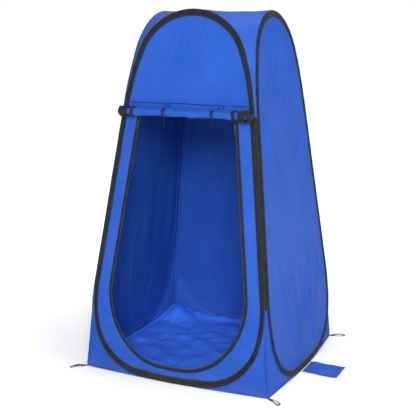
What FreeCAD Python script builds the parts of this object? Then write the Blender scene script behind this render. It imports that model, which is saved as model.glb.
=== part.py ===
"""Privacy shower tent: four sprung hoops with fabric walls, hinged to each other along the corners.

Origin: centre of the floor's underside. +Z up, the doorway faces -Y, +X is the right-hand side.
Each wall is drawn flat in its own plane (x across, y up the wall, z outwards from the tent) and
then leaned in and turned to its side of the tent.
"""
import FreeCAD, Part
import os
from collections import namedtuple
from math import acos, asin, cos, degrees, hypot, pi, radians, sin, tan

Vec = FreeCAD.Vector

# ---- overall sizes, mm ----
FLOOR_SIDE = 1050.0          # square floor
WALL_LEAN = 7.27             # each wall leans in by this many degrees
HOOP_TOP = 1887.0            # inner edge of the hoop's sleeve at its top, measured up the wall
HOOP_STAND_OFF = 31.0        # a hoop stands this far outside the floor's edge, at the ground

# ---- hoop outline, inner edge of the sleeve ----
CORNER_MARGIN = 36.0         # from the corner line between two walls to the sleeve's inner edge
HOOP_BOTTOM = 36.0
HOOP_TOP_RADIUS = 285.0
HOOP_SHOULDER_RADIUS = 1330.0
HOOP_FLANK_START = 478.0     # the straight side ends this high
HOOP_FLANK_RADIUS = 640.0
HOOP_CORNER_RADIUS = 290.0
HOOP_BOTTOM_RADIUS = 2100.0

# ---- sleeve round the hoop ----
SLEEVE_WIDTH_SIDE = 24.0
SLEEVE_WIDTH_TOP = 36.0
SLEEVE_THICK = 14.0
SLEEVE_ROUND = 4.0           # rounding of the sleeve's edges
SLEEVE_GROUND_GAP = 1.0      # sleeve's lowest edge, up the wall

# ---- spring steel hoop ----
WIRE_WIDE = 6.0              # across the wall's plane
WIRE_THIN = 2.0              # in the wall's plane
WIRE_PLAY = 1.0              # room round the wire inside the sleeve
FERRULE_LONG = 30.0
FERRULE_WALL = 1.0
FERRULE_FIT = 0.05           # radial room between the wire and its ferrule
FERRULE_HEIGHT = 900.0

# ---- fabric ----
SHEET = 2.0                  # thickness of every sheet
SEAM_GAP = 0.5               # between sheets and sleeves that are sewn together
CORNER_GAP = 3.0             # between two gussets where they meet at the floor's corner
GUSSET_FACETS = 8            # corners of its flat facets along each of its two arcs
GUSSET_POINT = 0.02          # a gusset's narrow end, as a share of its wide end
SEAM_BEAD_RADIUS = 1.1       # stitched bead down each corner, on the folding line
FOLD_LINE_INSET = 8.8        # folding line, inside both walls' middle planes

# ---- doorway ----
DOOR_MARGIN = 80.0           # from the sleeve's inner edge to the doorway
DOOR_BOTTOM = 85.0
DOOR_FLANK_START = 505.0
DOOR_FLANK_RADIUS = 396.0
DOOR_CORNER_RADIUS = 297.0
DOOR_BOTTOM_RADIUS = 1280.0
HEADER_DROP = 460.0          # header seam, below the inner edge of the hoop's top
HEADER_DEEP = 16.0
ZIP_TAPE_WIDE = 20.0
ZIP_TAPE_THICK = 1.2
ZIP_COIL_WIDE = 5.0
ZIP_COIL_THICK = 1.6

# ---- zip sliders ----
SLIDER_LONG = 18.0
SLIDER_WIDE = 12.0
SLIDER_THICK = 4.0
SLIDER_GAP = 0.4             # slider clear of the coil and its tab clear of the slider
SLIDER_DROP = 89.0           # parked sliders, below the header seam
SLIDER_LUG_WIDE = 3.0
SLIDER_LUG_LONG = 8.0
TAB_LONG = 26.0
TAB_WIDE = 9.0
TAB_THICK = 1.6
TAB_PIN_RADIUS = 0.8

# ---- rolled door ----
ROLL_DROP = 33.0             # its axis, below the header seam
ROLL_RADIUS = 20.0
ROLL_END_RADIUS = 26.0
ROLL_TIP_RADIUS = 14.0
ROLL_TIP_LONG = 24.0
ROLL_END_LONG = 84.0
ROLL_SHORT = 6.0             # each end of the roll is this much short of the doorway's widest part
ROLL_WALL_GAP = 1.5          # between the roll's ends and the sleeves that they rest on
BINDING_THICK = 1.5
BINDING_BANDS = ((30.0, 50.0), (62.0, 84.0))   # from each end of the roll
HINGE_STRAP_WIDE = 500.0

# ---- ties that hold the roll ----
TIE_PLACES = (-105.0, 166.0)
TIE_WIDE = 6.0
TIE_THICK = 1.5
KNOT_LONG = 16.0
KNOT_RADIUS = 5.0
TAIL_DIAMETER = 5.0
TAIL_ROUTE = ((0.0, 0.0, 0.0), (2.0, -2.5, -30.0), (6.0, -2.0, -62.0), (6.5, -0.5, -96.0))   # from the knot

# ---- peg loops at the floor's corners ----
PEG_LOOP_LONG = 88.0
PEG_LOOP_NECK = 9.0
PEG_LOOP_WIDE = 24.0
PEG_LOOP_THICK = 3.0
PEG_SLOT_LONG = 50.0
PEG_SLOT_WIDE = 14.0
PEG_SLOT_NARROW = 3.0
PEG_SLOT_END = 5.0           # webbing left beyond the slot
PEG_LOOP_OFFSET = 8.0        # from the floor's corner
PEG_LOOP_TURNS = {"front_left": 225.0, "front_right": 326.0, "back_right": 24.0, "back_left": 140.0}

# ---- ground flap on the right-hand side ----
FLAP_WIDE = 160.0
FLAP_FAR_WIDE = 173.0
FLAP_LONG = 196.0
FLAP_CENTRE = -24.0
FLAP_SKEW = -16.0            # its far edge is shifted along the wall
FLAP_GAP = 1.5               # between the sleeve and the flap's hinge line
FLAP_HEM = 24.0              # doubled strip beside the tent
FLAP_THICK = 2.0

HEADER_HEIGHT = HOOP_TOP - HEADER_DROP       # heights up the wall
ROLL_HEIGHT = HEADER_HEIGHT - ROLL_DROP
SLIDER_HEIGHT = HEADER_HEIGHT - SLIDER_DROP
LEAN = radians(WALL_LEAN)
HALF_FLOOR = FLOOR_SIDE / 2
HALF_BASE = HALF_FLOOR + HOOP_STAND_OFF      # from the centre to a hoop's plane at the ground
TAPER = asin(sin(LEAN) / hypot(1.0, sin(LEAN)))    # the corner line, seen square to the wall
SIDES = {"front": 0.0, "right": 90.0, "back": 180.0, "left": 270.0}
CORNERS = {"front_left": (-1, -1), "front_right": (1, -1), "back_right": (1, 1), "back_left": (-1, 1)}

Outline = namedtuple("Outline", "side top bottom r_top r_shoulder flank_start r_flank r_corner r_bottom")

ACROSS = Vec(cos(TAPER), sin(TAPER), 0)      # outwards, square to the outline's straight side
ALONG = Vec(-sin(TAPER), cos(TAPER), 0)      # up the outline's straight side


def grown(line, side, top, bottom):
    """The outline moved outwards by one distance at its sides, its top and its bottom."""
    return Outline(
        side=line.side + side / cos(TAPER), top=line.top + top, bottom=line.bottom - bottom,
        r_top=line.r_top + (top + side) / 2, r_shoulder=line.r_shoulder + side,
        flank_start=line.flank_start + side * sin(TAPER), r_flank=line.r_flank + side,
        r_corner=line.r_corner + (side + bottom) / 2, r_bottom=line.r_bottom + bottom)


def even(line, distance):
    """The outline moved outwards by the same distance all round."""
    return grown(line, distance, distance, distance)


def side_point(line, height):
    """The point of the outline's straight side at a height."""
    return Vec(line.side, 0, 0) + ALONG * (height / cos(TAPER))


def far_point(centre, radius, towards):
    """The point at the radius from the centre, in the direction of another point."""
    return centre + (towards - centre).normalize() * radius


def arc(centre, radius, start, end):
    """The shorter arc about the centre from start to end."""
    middle = far_point(centre, radius, centre + (start - centre) + (end - centre))
    return Part.Arc(start, middle, end).toShape()


def mirrored(point):
    return Vec(-point.x, point.y, point.z)


def upper_points(line):
    """Centres and ends of the top arc and the shoulder arc, tangent to each other and the side."""
    top_centre = Vec(0, line.top - line.r_top, 0)
    offset = line.side * cos(TAPER) - line.r_shoulder - top_centre.dot(ACROSS)
    drop = ((line.r_shoulder - line.r_top) ** 2 - offset ** 2) ** 0.5
    shoulder_centre = top_centre + ACROSS * offset - ALONG * drop
    top_end = far_point(shoulder_centre, line.r_shoulder, top_centre)
    return top_centre, shoulder_centre, top_end, shoulder_centre + ACROSS * line.r_shoulder


def lower_points(line):
    """Centres and ends of the flank, corner and bottom arcs, each tangent to the next."""
    flank_top = side_point(line, line.flank_start)
    flank_centre = flank_top - ACROSS * line.r_flank
    bottom_centre = Vec(0, line.bottom + line.r_bottom, 0)
    near, far = line.r_flank - line.r_corner, line.r_bottom - line.r_corner
    gap = bottom_centre - flank_centre
    reach = (near ** 2 - far ** 2 + gap.Length ** 2) / (2 * gap.Length)
    height = (near ** 2 - reach ** 2) ** 0.5
    forward = Vec(gap).normalize()
    corner_centre = flank_centre + forward * reach + Vec(forward.y, -forward.x, 0) * height
    flank_end = far_point(flank_centre, line.r_flank, corner_centre)
    corner_end = far_point(bottom_centre, line.r_bottom, corner_centre)
    return flank_top, flank_centre, flank_end, corner_centre, corner_end


def lower_edges(line):
    """The outline's open lower run: flank, corner, bottom, corner, flank, left to right."""
    flank_top, flank_centre, flank_end, corner_centre, corner_end = lower_points(line)
    right = [arc(flank_centre, line.r_flank, flank_top, flank_end),
             arc(corner_centre, line.r_corner, flank_end, corner_end)]
    left = [arc(mirrored(flank_centre), line.r_flank, mirrored(flank_top), mirrored(flank_end)),
            arc(mirrored(corner_centre), line.r_corner, mirrored(flank_end), mirrored(corner_end))]
    base = Part.Arc(mirrored(corner_end), Vec(0, line.bottom, 0), corner_end).toShape()
    return left + [base] + right[::-1], flank_top


def upper_edges(line):
    """The shoulders and the top, with the height where the straight sides end."""
    top_centre, shoulder_centre, top_end, side_end = upper_points(line)
    right = arc(shoulder_centre, line.r_shoulder, side_end, top_end)
    left = arc(mirrored(shoulder_centre), line.r_shoulder, mirrored(side_end), mirrored(top_end))
    crown = Part.Arc(mirrored(top_end), Vec(0, line.top, 0), top_end).toShape()
    return [left, crown, right], side_end


def segment(start, end):
    return Part.makeLine(start, end)


def closed_plate(edges, low, high):
    """A plate between two heights over a closed flat outline."""
    wire = Part.Wire(Part.__sortEdges__(edges))
    plate = Part.Face(wire).extrude(Vec(0, 0, high - low))
    plate.translate(Vec(0, 0, low))
    return plate


def hoop_plate(line, low, high):
    """A plate as large as a whole hoop outline."""
    lower, flank_top = lower_edges(line)
    upper, side_end = upper_edges(line)
    sides = [segment(flank_top, side_end), segment(mirrored(flank_top), mirrored(side_end))]
    return closed_plate(lower + upper + sides, low, high)


def door_plate(line, low, high):
    """A plate as large as the doorway: the lower outline under a straight header."""
    lower, flank_top = lower_edges(line)
    head = side_point(line, line.top)
    sides = [segment(flank_top, head), segment(mirrored(flank_top), mirrored(head))]
    return closed_plate(lower + sides + [segment(mirrored(head), head)], low, high)


def box_between(low, high):
    size = high - low
    return Part.makeBox(size.x, size.y, size.z, low)


def slot_block(half_length, half_width, half_height):
    """A block centred on the origin, with its length along Y."""
    return box_between(Vec(-half_width, -half_length, -half_height), Vec(half_width, half_length, half_height))


def stood(shape, side):
    """A shape drawn in a wall's plane, leaned in and turned to its side of the tent."""
    lean = FreeCAD.Placement(Vec(0, -HALF_BASE, 0), FreeCAD.Rotation(Vec(1, 0, 0), 90 - WALL_LEAN))
    turn = FreeCAD.Placement(Vec(), FreeCAD.Rotation(Vec(0, 0, 1), SIDES[side]))
    copy = shape.copy()
    copy.Placement = turn.multiply(lean).multiply(copy.Placement)
    return copy


def wall_to_world(point, side):
    """A point drawn in a wall's plane, in the tent's frame."""
    lean = FreeCAD.Placement(Vec(0, -HALF_BASE, 0), FreeCAD.Rotation(Vec(1, 0, 0), 90 - WALL_LEAN))
    turn = FreeCAD.Placement(Vec(), FreeCAD.Rotation(Vec(0, 0, 1), SIDES[side]))
    return turn.multiply(lean).multVec(point)


INNER = Outline(
    side=HALF_BASE - CORNER_MARGIN / cos(TAPER), top=HOOP_TOP, bottom=HOOP_BOTTOM, r_top=HOOP_TOP_RADIUS,
    r_shoulder=HOOP_SHOULDER_RADIUS, flank_start=HOOP_FLANK_START, r_flank=HOOP_FLANK_RADIUS,
    r_corner=HOOP_CORNER_RADIUS, r_bottom=HOOP_BOTTOM_RADIUS)
SLEEVE_WIDTH_BOTTOM = HOOP_BOTTOM - SLEEVE_GROUND_GAP
OUTER = grown(INNER, SLEEVE_WIDTH_SIDE, SLEEVE_WIDTH_TOP, SLEEVE_WIDTH_BOTTOM)
MIDDLE = grown(INNER, SLEEVE_WIDTH_SIDE / 2, SLEEVE_WIDTH_TOP / 2, SLEEVE_WIDTH_BOTTOM / 2)
DOOR = Outline(
    side=INNER.side - DOOR_MARGIN / cos(TAPER), top=HEADER_HEIGHT - HEADER_DEEP, bottom=DOOR_BOTTOM, r_top=0,
    r_shoulder=0, flank_start=DOOR_FLANK_START, r_flank=DOOR_FLANK_RADIUS, r_corner=DOOR_CORNER_RADIUS,
    r_bottom=DOOR_BOTTOM_RADIUS)


def ring(line, half_width, half_height):
    """A flat ring that follows an outline, of the same width all round."""
    return hoop_plate(even(line, half_width), -half_height, half_height).cut(
        hoop_plate(even(line, -half_width), -2 * half_height, 2 * half_height))


def at_ferrule(block):
    """A block placed on the wire, along the hoop's straight left side."""
    place = mirrored(side_point(MIDDLE, FERRULE_HEIGHT))
    turned = block.copy()
    turned.rotate(Vec(), Vec(0, 0, 1), -degrees(TAPER))
    turned.translate(place)
    return turned


def make_wire():
    return ring(MIDDLE, WIRE_THIN / 2, WIRE_WIDE / 2)


def make_ferrule():
    """The crimped sleeve that joins the two ends of the hoop."""
    across, high = WIRE_THIN / 2 + FERRULE_FIT, WIRE_WIDE / 2 + FERRULE_FIT
    outside = slot_block(FERRULE_LONG / 2, across + FERRULE_WALL, high + FERRULE_WALL)
    return at_ferrule(outside.cut(slot_block(FERRULE_LONG, across, high)))


def make_sleeve():
    """The webbing sleeve, with a channel for the wire and a pocket for its ferrule."""
    half = SLEEVE_THICK / 2
    body = hoop_plate(OUTER, -half, half).cut(hoop_plate(INNER, -SLEEVE_THICK, SLEEVE_THICK))
    rims = [edge for edge in body.Edges if abs(abs(edge.CenterOfMass.z) - half) < 0.01]
    body = body.makeFillet(SLEEVE_ROUND, rims)
    channel = ring(MIDDLE, WIRE_THIN / 2 + WIRE_PLAY, WIRE_WIDE / 2 + WIRE_PLAY)
    room = FERRULE_FIT + FERRULE_WALL + WIRE_PLAY
    pocket = slot_block(FERRULE_LONG / 2 + WIRE_PLAY, WIRE_THIN / 2 + room, WIRE_WIDE / 2 + room)
    return body.cut(channel.fuse(at_ferrule(pocket)))


def make_panel(with_door):
    panel = hoop_plate(INNER, -SHEET / 2, SHEET / 2)
    return panel.cut(door_plate(DOOR, -SHEET, SHEET)) if with_door else panel


def make_gusset(side, hand):
    """One fabric triangle: flat facets fanned from the hoop's lower curve to a point at the floor's corner."""
    edge_line = even(OUTER, SEAM_GAP)
    flank_top, flank_centre, flank_end, corner_centre, corner_end = (
        Vec(hand * point.x, point.y, 0) for point in lower_points(edge_line))
    curves = [arc(flank_centre, edge_line.r_flank, flank_top, flank_end),
              arc(corner_centre, edge_line.r_corner, flank_end, corner_end)]
    corner = floor_corner_in_wall(hand)
    edge = edges_outside(curves[0], flank_centre) + edges_outside(curves[1], corner_centre)[1:]
    point = [corner + (start - corner) * GUSSET_POINT for start in edge]
    facets = []
    for i in range(len(edge) - 1):
        rim = [edge[i], edge[i + 1], point[i + 1], point[i], edge[i]]
        fan = Part.Face(Part.makePolygon(rim))
        fan.translate(Vec(0, 0, -SHEET / 2))
        facets.append(fan.extrude(Vec(0, 0, SHEET)))
    return stood(facets[0].multiFuse(facets[1:]), side)


def edges_outside(curve, centre):
    """Ends of the straight edges that touch an arc from outside, so that no facet cuts into the hoop's sleeve."""
    steps = curve.discretize(2 * GUSSET_FACETS + 1)
    push = 1 / cos((steps[0] - centre).getAngle(steps[1] - centre))
    return [steps[0]] + [centre + (step - centre) * push for step in steps[1::2]] + [steps[-1]]


def floor_corner_in_wall(hand):
    """A floor corner as seen in a wall's plane, a little short of the corner and above the floor."""
    corner = Vec(hand * (HALF_FLOOR - CORNER_GAP), -HALF_FLOOR - CORNER_GAP, 2 * SHEET)
    lean = FreeCAD.Placement(Vec(0, -HALF_BASE, 0), FreeCAD.Rotation(Vec(1, 0, 0), 90 - WALL_LEAN))
    return lean.inverse().multVec(corner)


def make_floor():
    """Square floor sheet with a low sill along each side that reaches the hoop's foot."""
    reach = HALF_BASE - SLEEVE_THICK / 2 / cos(LEAN) - SEAM_GAP
    half_sill = lower_points(OUTER)[4].x
    floor = box_between(Vec(-HALF_FLOOR, -HALF_FLOOR, 0), Vec(HALF_FLOOR, HALF_FLOOR, SHEET))
    for half_x, half_y in ((half_sill, reach), (reach, half_sill)):
        floor = floor.fuse(box_between(Vec(-half_x, -half_y, 0), Vec(half_x, half_y, SHEET)))
    return floor.removeSplitter()


def roof_edges(side, mirror):
    """The roof's edge along half of a hoop: its under and upper curves, and its apex and side ends."""
    curves = []
    ends = []
    for distance in (SEAM_GAP, SEAM_GAP + SHEET):
        line = even(OUTER, distance)
        top_centre, shoulder_centre, top_end, side_end = upper_points(line)
        apex = Vec(0, line.top, 0)
        curves += [arc(top_centre, line.r_top, apex, top_end),
                   arc(shoulder_centre, line.r_shoulder, top_end, side_end)]
        ends.append((apex, side_end))
    lines = [segment(low, high) for low, high in zip(*ends)]
    edges = curves + lines
    if mirror:
        edges = [edge.mirror(Vec(), Vec(1, 0, 0)) for edge in edges]
    return [stood(edge, side) for edge in edges]


def make_roof():
    """Four fabric webs ruled between neighbouring hoops, round a flat square held at their tops."""
    names = list(SIDES)
    faces = []
    for level in (OUTER.top + SEAM_GAP, OUTER.top + SEAM_GAP + SHEET):
        points = [wall_to_world(Vec(0, level, 0), side) for side in names]
        faces.append(Part.Face(Part.makePolygon(points + points[:1])))
    for i, side in enumerate(names):
        near, far = roof_edges(side, False), roof_edges(names[(i + 1) % 4], True)
        ruled = [k for k in range(len(near)) if k != len(near) - 2]      # all but the apex ends
        faces += [Part.makeRuledSurface(near[k], far[k]) for k in ruled]
        faces += [Part.Face(Part.Wire(Part.__sortEdges__(edges))) for edges in (near, far)]
    shell = Part.makeShell(faces)
    shell.sewShape()
    roof = Part.makeSolid(shell)
    if roof.Volume < 0:
        roof.reverse()
    return roof


def fold_line(corner, height):
    """A point of the folding line at a corner: it runs parallel to the corner line, inside it."""
    reach = HALF_BASE - FOLD_LINE_INSET / cos(LEAN) - height * tan(LEAN)
    return Vec(corner[0] * reach, corner[1] * reach, height)


def make_corner_seam(corner):
    """The stitched bead down a corner, where one hoop's sleeve is sewn to the next."""
    low = fold_line(corner, OUTER.flank_start * cos(LEAN))
    high = fold_line(corner, upper_points(OUTER)[3].y * cos(LEAN))
    return Part.makeCylinder(SEAM_BEAD_RADIUS, (high - low).Length, low, high - low)


def make_header():
    """The hem that the door hangs from, sewn across the front panel above the doorway."""
    inside = hoop_plate(even(INNER, -SEAM_GAP), SHEET / 2, 1.5 * SHEET)
    strip = box_between(Vec(-HALF_BASE, HEADER_HEIGHT - HEADER_DEEP, 0), Vec(HALF_BASE, HEADER_HEIGHT, 2 * SHEET))
    return inside.common(strip)


def door_band(line, outwards, low, high):
    """A U-shaped band down both sides of the doorway and round its bottom, up to the hem."""
    hem_edge = HEADER_HEIGHT - HEADER_DEEP - SEAM_GAP
    band = door_plate(even(line, outwards), low, high).cut(door_plate(line, low - SHEET, high + SHEET))
    return band.cut(box_between(Vec(-HALF_BASE, hem_edge, low - SHEET), Vec(HALF_BASE, HOOP_TOP, high + SHEET)))


def make_zip_tape():
    taller = DOOR._replace(top=HEADER_HEIGHT)
    return door_band(taller, ZIP_TAPE_WIDE, SHEET / 2, SHEET / 2 + ZIP_TAPE_THICK)


def make_zip_coil():
    taller = DOOR._replace(top=HEADER_HEIGHT)
    base = SHEET / 2 + ZIP_TAPE_THICK
    return door_band(taller, ZIP_COIL_WIDE, base, base + ZIP_COIL_THICK)


SLIDER_BASE = SHEET / 2 + ZIP_TAPE_THICK + ZIP_COIL_THICK + SLIDER_GAP
TAB_PIN_OUT = SLIDER_BASE + SLIDER_THICK + SLIDER_GAP + TAB_THICK / 2


def at_slider(shape, hand):
    """A piece drawn about a slider's centre, placed on the coil at one side of the doorway."""
    placed = shape.copy()
    placed.rotate(Vec(), Vec(0, 0, 1), degrees(TAPER))
    placed.translate(side_point(DOOR, SLIDER_HEIGHT) + ACROSS * (ZIP_COIL_WIDE / 2))
    return placed if hand > 0 else placed.mirror(Vec(), Vec(1, 0, 0))


def make_slider(hand):
    """Zip slider: a waisted block with two lugs that hold the pull tab's pin."""
    half_long, half_wide = SLIDER_LONG / 2, SLIDER_WIDE / 2
    waist = half_wide * 0.7
    edges_points = [Vec(-waist, -half_long, 0), Vec(waist, -half_long, 0), Vec(half_wide, 0, 0),
                    Vec(half_wide, half_long, 0), Vec(-half_wide, half_long, 0), Vec(-half_wide, 0, 0)]
    count = len(edges_points)
    edges = [segment(edges_points[i], edges_points[(i + 1) % count]) for i in range(count)]
    body = closed_plate(edges, SLIDER_BASE, SLIDER_BASE + SLIDER_THICK)
    lug_high = TAB_PIN_OUT + TAB_THICK
    lug = box_between(Vec(-SLIDER_LUG_WIDE / 2, -half_long, SLIDER_BASE + SLIDER_THICK),
                      Vec(SLIDER_LUG_WIDE / 2, -half_long + SLIDER_LUG_LONG, lug_high))
    hole = Part.makeCylinder(TAB_PIN_RADIUS + FERRULE_FIT, SLIDER_WIDE,
                             Vec(-half_wide, tab_pin_along(), TAB_PIN_OUT), Vec(1, 0, 0))
    return stood(at_slider(body.fuse(lug).cut(hole), hand), "front")


def tab_pin_along():
    return -SLIDER_LONG / 2 + SLIDER_LUG_LONG / 2


def make_tab(hand):
    """Pull tab that hangs from the slider's lug: two cheeks, a cross pin and a grip."""
    pin_y = tab_pin_along()
    half = TAB_WIDE / 2
    low, high = TAB_PIN_OUT - TAB_THICK / 2, TAB_PIN_OUT + TAB_THICK / 2
    plate = box_between(Vec(-half, pin_y - TAB_LONG, low), Vec(half, pin_y, high))
    knuckle = Part.makeCylinder(TAB_THICK / 2, 2 * half, Vec(-half, pin_y, TAB_PIN_OUT), Vec(1, 0, 0))
    slot_half = SLIDER_LUG_WIDE / 2 + SLIDER_GAP
    slot_low = -SLIDER_LONG / 2 - SLIDER_LUG_LONG / 2
    slot = box_between(Vec(-slot_half, slot_low, low - 1), Vec(slot_half, pin_y + 2 * TAB_THICK, high + 1))
    pin = Part.makeCylinder(TAB_PIN_RADIUS, 2 * half, Vec(-half, pin_y, TAB_PIN_OUT), Vec(1, 0, 0))
    return stood(at_slider(plate.fuse(knuckle).cut(slot).fuse(pin), hand), "front")


ROLL_LENGTH = 2 * (lower_points(DOOR)[1].x + DOOR_FLANK_RADIUS - ROLL_SHORT)
ROLL_OUT = SLEEVE_THICK / 2 + ROLL_WALL_GAP + ROLL_END_RADIUS + BINDING_THICK   # its axis, out from the wall
HEM_OUT = 1.5 * SHEET + SEAM_GAP             # the line where the door hangs from its hem


def make_roll():
    """The rolled-up door: a cylinder, thicker near its ends, with a tucked tip at each end."""
    half = ROLL_LENGTH / 2
    stations = [(-half, ROLL_TIP_RADIUS), (-half + ROLL_TIP_LONG, ROLL_TIP_RADIUS),
                (-half + ROLL_TIP_LONG, ROLL_END_RADIUS), (-half + ROLL_END_LONG, ROLL_END_RADIUS),
                (-half + ROLL_END_LONG + ROLL_END_RADIUS, ROLL_RADIUS)]
    stations += [(-x, radius) for x, radius in reversed(stations)]
    points = [Vec(-half, 0, 0)] + [Vec(x, radius, 0) for x, radius in stations] + [Vec(half, 0, 0)]
    body = Part.Face(Part.makePolygon(points + points[:1])).revolve(Vec(), Vec(1, 0, 0), 360)
    body.translate(Vec(0, ROLL_HEIGHT, ROLL_OUT))
    return stood(body.fuse(make_hinge_strap()), "front")


def make_hinge_strap():
    """The strip of door fabric between the roll and its hem."""
    half = HINGE_STRAP_WIDE / 2
    low = Vec(-half, ROLL_HEIGHT + 0.5 * ROLL_RADIUS, ROLL_OUT - 0.5 * ROLL_RADIUS)
    points = [low, Vec(-half, HEADER_HEIGHT, HEM_OUT), Vec(-half, HEADER_HEIGHT, HEM_OUT + SHEET),
              Vec(-half, low.y + SHEET, low.z + SHEET)]
    return Part.Face(Part.makePolygon(points + points[:1])).extrude(Vec(2 * half, 0, 0))


def tube(inner, outer, start, length):
    """A tube about the X axis through the origin."""
    at = Vec(start, 0, 0)
    return Part.makeCylinder(outer, length, at, Vec(1, 0, 0)).cut(
        Part.makeCylinder(inner, length, at, Vec(1, 0, 0)))


def make_binding():
    """Bands of the door's black edge binding, where it winds round the ends of the roll."""
    half = ROLL_LENGTH / 2
    bands = []
    for near, far in BINDING_BANDS:
        for start in (-half + near, half - far):
            bands.append(tube(ROLL_END_RADIUS, ROLL_END_RADIUS + BINDING_THICK, start, far - near))
    group = Part.makeCompound(bands)
    group.translate(Vec(0, ROLL_HEIGHT, ROLL_OUT))
    return stood(group, "front")


def make_tie(place):
    """A tape tied round the roll, with a strap up to its anchor on the hem."""
    outer = ROLL_RADIUS + TIE_THICK
    loop = tube(ROLL_RADIUS, outer, -TIE_WIDE / 2, TIE_WIDE)
    loop.translate(Vec(0, ROLL_HEIGHT, ROLL_OUT))
    anchor_out = HEM_OUT + SHEET
    points = [Vec(-TIE_WIDE / 2, ROLL_HEIGHT + outer, ROLL_OUT), Vec(-TIE_WIDE / 2, HEADER_HEIGHT, anchor_out),
              Vec(-TIE_WIDE / 2, HEADER_HEIGHT - TIE_THICK, anchor_out),
              Vec(-TIE_WIDE / 2, ROLL_HEIGHT + outer - TIE_THICK, ROLL_OUT - TIE_THICK)]
    strap = Part.Face(Part.makePolygon(points + points[:1])).extrude(Vec(TIE_WIDE, 0, 0))
    core = Part.makeCylinder(ROLL_RADIUS, 2 * TIE_WIDE, Vec(-TIE_WIDE, ROLL_HEIGHT, ROLL_OUT), Vec(1, 0, 0))
    tie = loop.fuse(strap).cut(core)
    tie.translate(Vec(place, 0, 0))
    return stood(tie.cut(make_hinge_strap()), "front")


def knot_place(place):
    """The knot's centre, on the upper front of the roll."""
    reach = (ROLL_RADIUS + TIE_THICK + KNOT_RADIUS) * 2 ** -0.5
    return Vec(place, ROLL_HEIGHT + reach, ROLL_OUT + reach)


def make_knot(place):
    """The knot: a short thick bar of wound tape with rounded ends."""
    start = knot_place(place) - Vec(KNOT_LONG / 2, 0, 0)
    bar = Part.makeCylinder(KNOT_RADIUS, KNOT_LONG, start, Vec(1, 0, 0))
    ends = [edge for edge in bar.Edges if edge.Curve.TypeId == "Part::GeomCircle"]
    return stood(bar.makeFillet(KNOT_RADIUS * 0.4, ends), "front")


def tail_points(place):
    """The tail's route, hanging straight down from the front of its knot."""
    knot = wall_to_world(knot_place(place) + Vec(0, 0, KNOT_RADIUS + TAIL_DIAMETER / 2), "front")
    return [knot + Vec(*step) for step in TAIL_ROUTE]


def make_cord(points, diameter, name):
    """A cord's tube: straight runs joined by tangent arcs, each as large as its runs allow."""
    edges = []
    start = points[0]
    for before, corner, after in zip(points, points[1:], points[2:]):
        back, on = (before - corner).normalize(), (after - corner).normalize()
        half_turn = (pi - acos(back.dot(on))) / 2
        cut = 0.45 * min((before - corner).Length, (after - corner).Length)
        radius = cut / tan(half_turn)
        arc_start, arc_end = corner + back * cut, corner + on * cut
        centre = corner + (back + on).normalize() * (radius / cos(half_turn))
        edges += [segment(start, arc_start), arc(centre, radius, arc_start, arc_end)]
        print(f"{name}: bend radius {radius:.1f} mm")
        start = arc_end
    edges.append(segment(start, points[-1]))
    path = Part.Wire(edges)
    section = Part.Wire(Part.makeCircle(diameter / 2, points[0], points[1] - points[0]))
    solid = path.makePipeShell([section], True, True)
    expected = pi * (diameter / 2) ** 2 * path.Length
    print(f"{name}: length {path.Length:.1f} mm, volume {solid.Volume / expected:.4f} of section x length")
    return solid


def make_peg_loop(name):
    """A webbing loop that lies on the ground: narrow at the corner, with a slot for a peg."""
    neck, wide, long = PEG_LOOP_NECK / 2, PEG_LOOP_WIDE / 2, PEG_LOOP_LONG
    outside = [Vec(0, -neck, 0), Vec(long, -wide, 0), Vec(long, wide, 0), Vec(0, neck, 0)]
    slot_far = long - PEG_SLOT_END
    slot_near = slot_far - PEG_SLOT_LONG
    thin, thick = PEG_SLOT_NARROW / 2, PEG_SLOT_WIDE / 2
    slot = [Vec(slot_near, -thin, 0), Vec(slot_far, -thick, 0), Vec(slot_far, thick, 0), Vec(slot_near, thin, 0)]
    plates = []
    for corners, low, high in ((outside, 0, PEG_LOOP_THICK), (slot, -1, PEG_LOOP_THICK + 1)):
        edges = [segment(corners[i], corners[(i + 1) % 4]) for i in range(4)]
        plates.append(closed_plate(edges, low, high))
    loop = plates[0].cut(plates[1])
    loop.rotate(Vec(), Vec(0, 0, 1), PEG_LOOP_TURNS[name])
    loop.translate(peg_loop_root(name))
    return loop


def peg_loop_root(name):
    """Where a peg loop starts, just beyond its floor corner."""
    turn = radians(PEG_LOOP_TURNS[name])
    sign_x, sign_y = CORNERS[name]
    return Vec(sign_x * HALF_FLOOR + PEG_LOOP_OFFSET * cos(turn), sign_y * HALF_FLOOR + PEG_LOOP_OFFSET * sin(turn), 0)


FLAP_ROOT = HALF_BASE + SLEEVE_THICK / 2 / cos(LEAN) + FLAP_GAP


def make_flap(start, end, low, high):
    """A length of the ground flap, which widens and shifts a little away from the tent."""
    corners = []
    for hand, reach in ((-1, start), (-1, end), (1, end), (1, start)):
        share = reach / FLAP_LONG
        half = (FLAP_WIDE + (FLAP_FAR_WIDE - FLAP_WIDE) * share) / 2
        corners.append(Vec(FLAP_ROOT + reach, FLAP_CENTRE + FLAP_SKEW * share + hand * half, 0))
    edges = [segment(corners[i], corners[(i + 1) % 4]) for i in range(4)]
    return closed_plate(edges, low, high)


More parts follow.
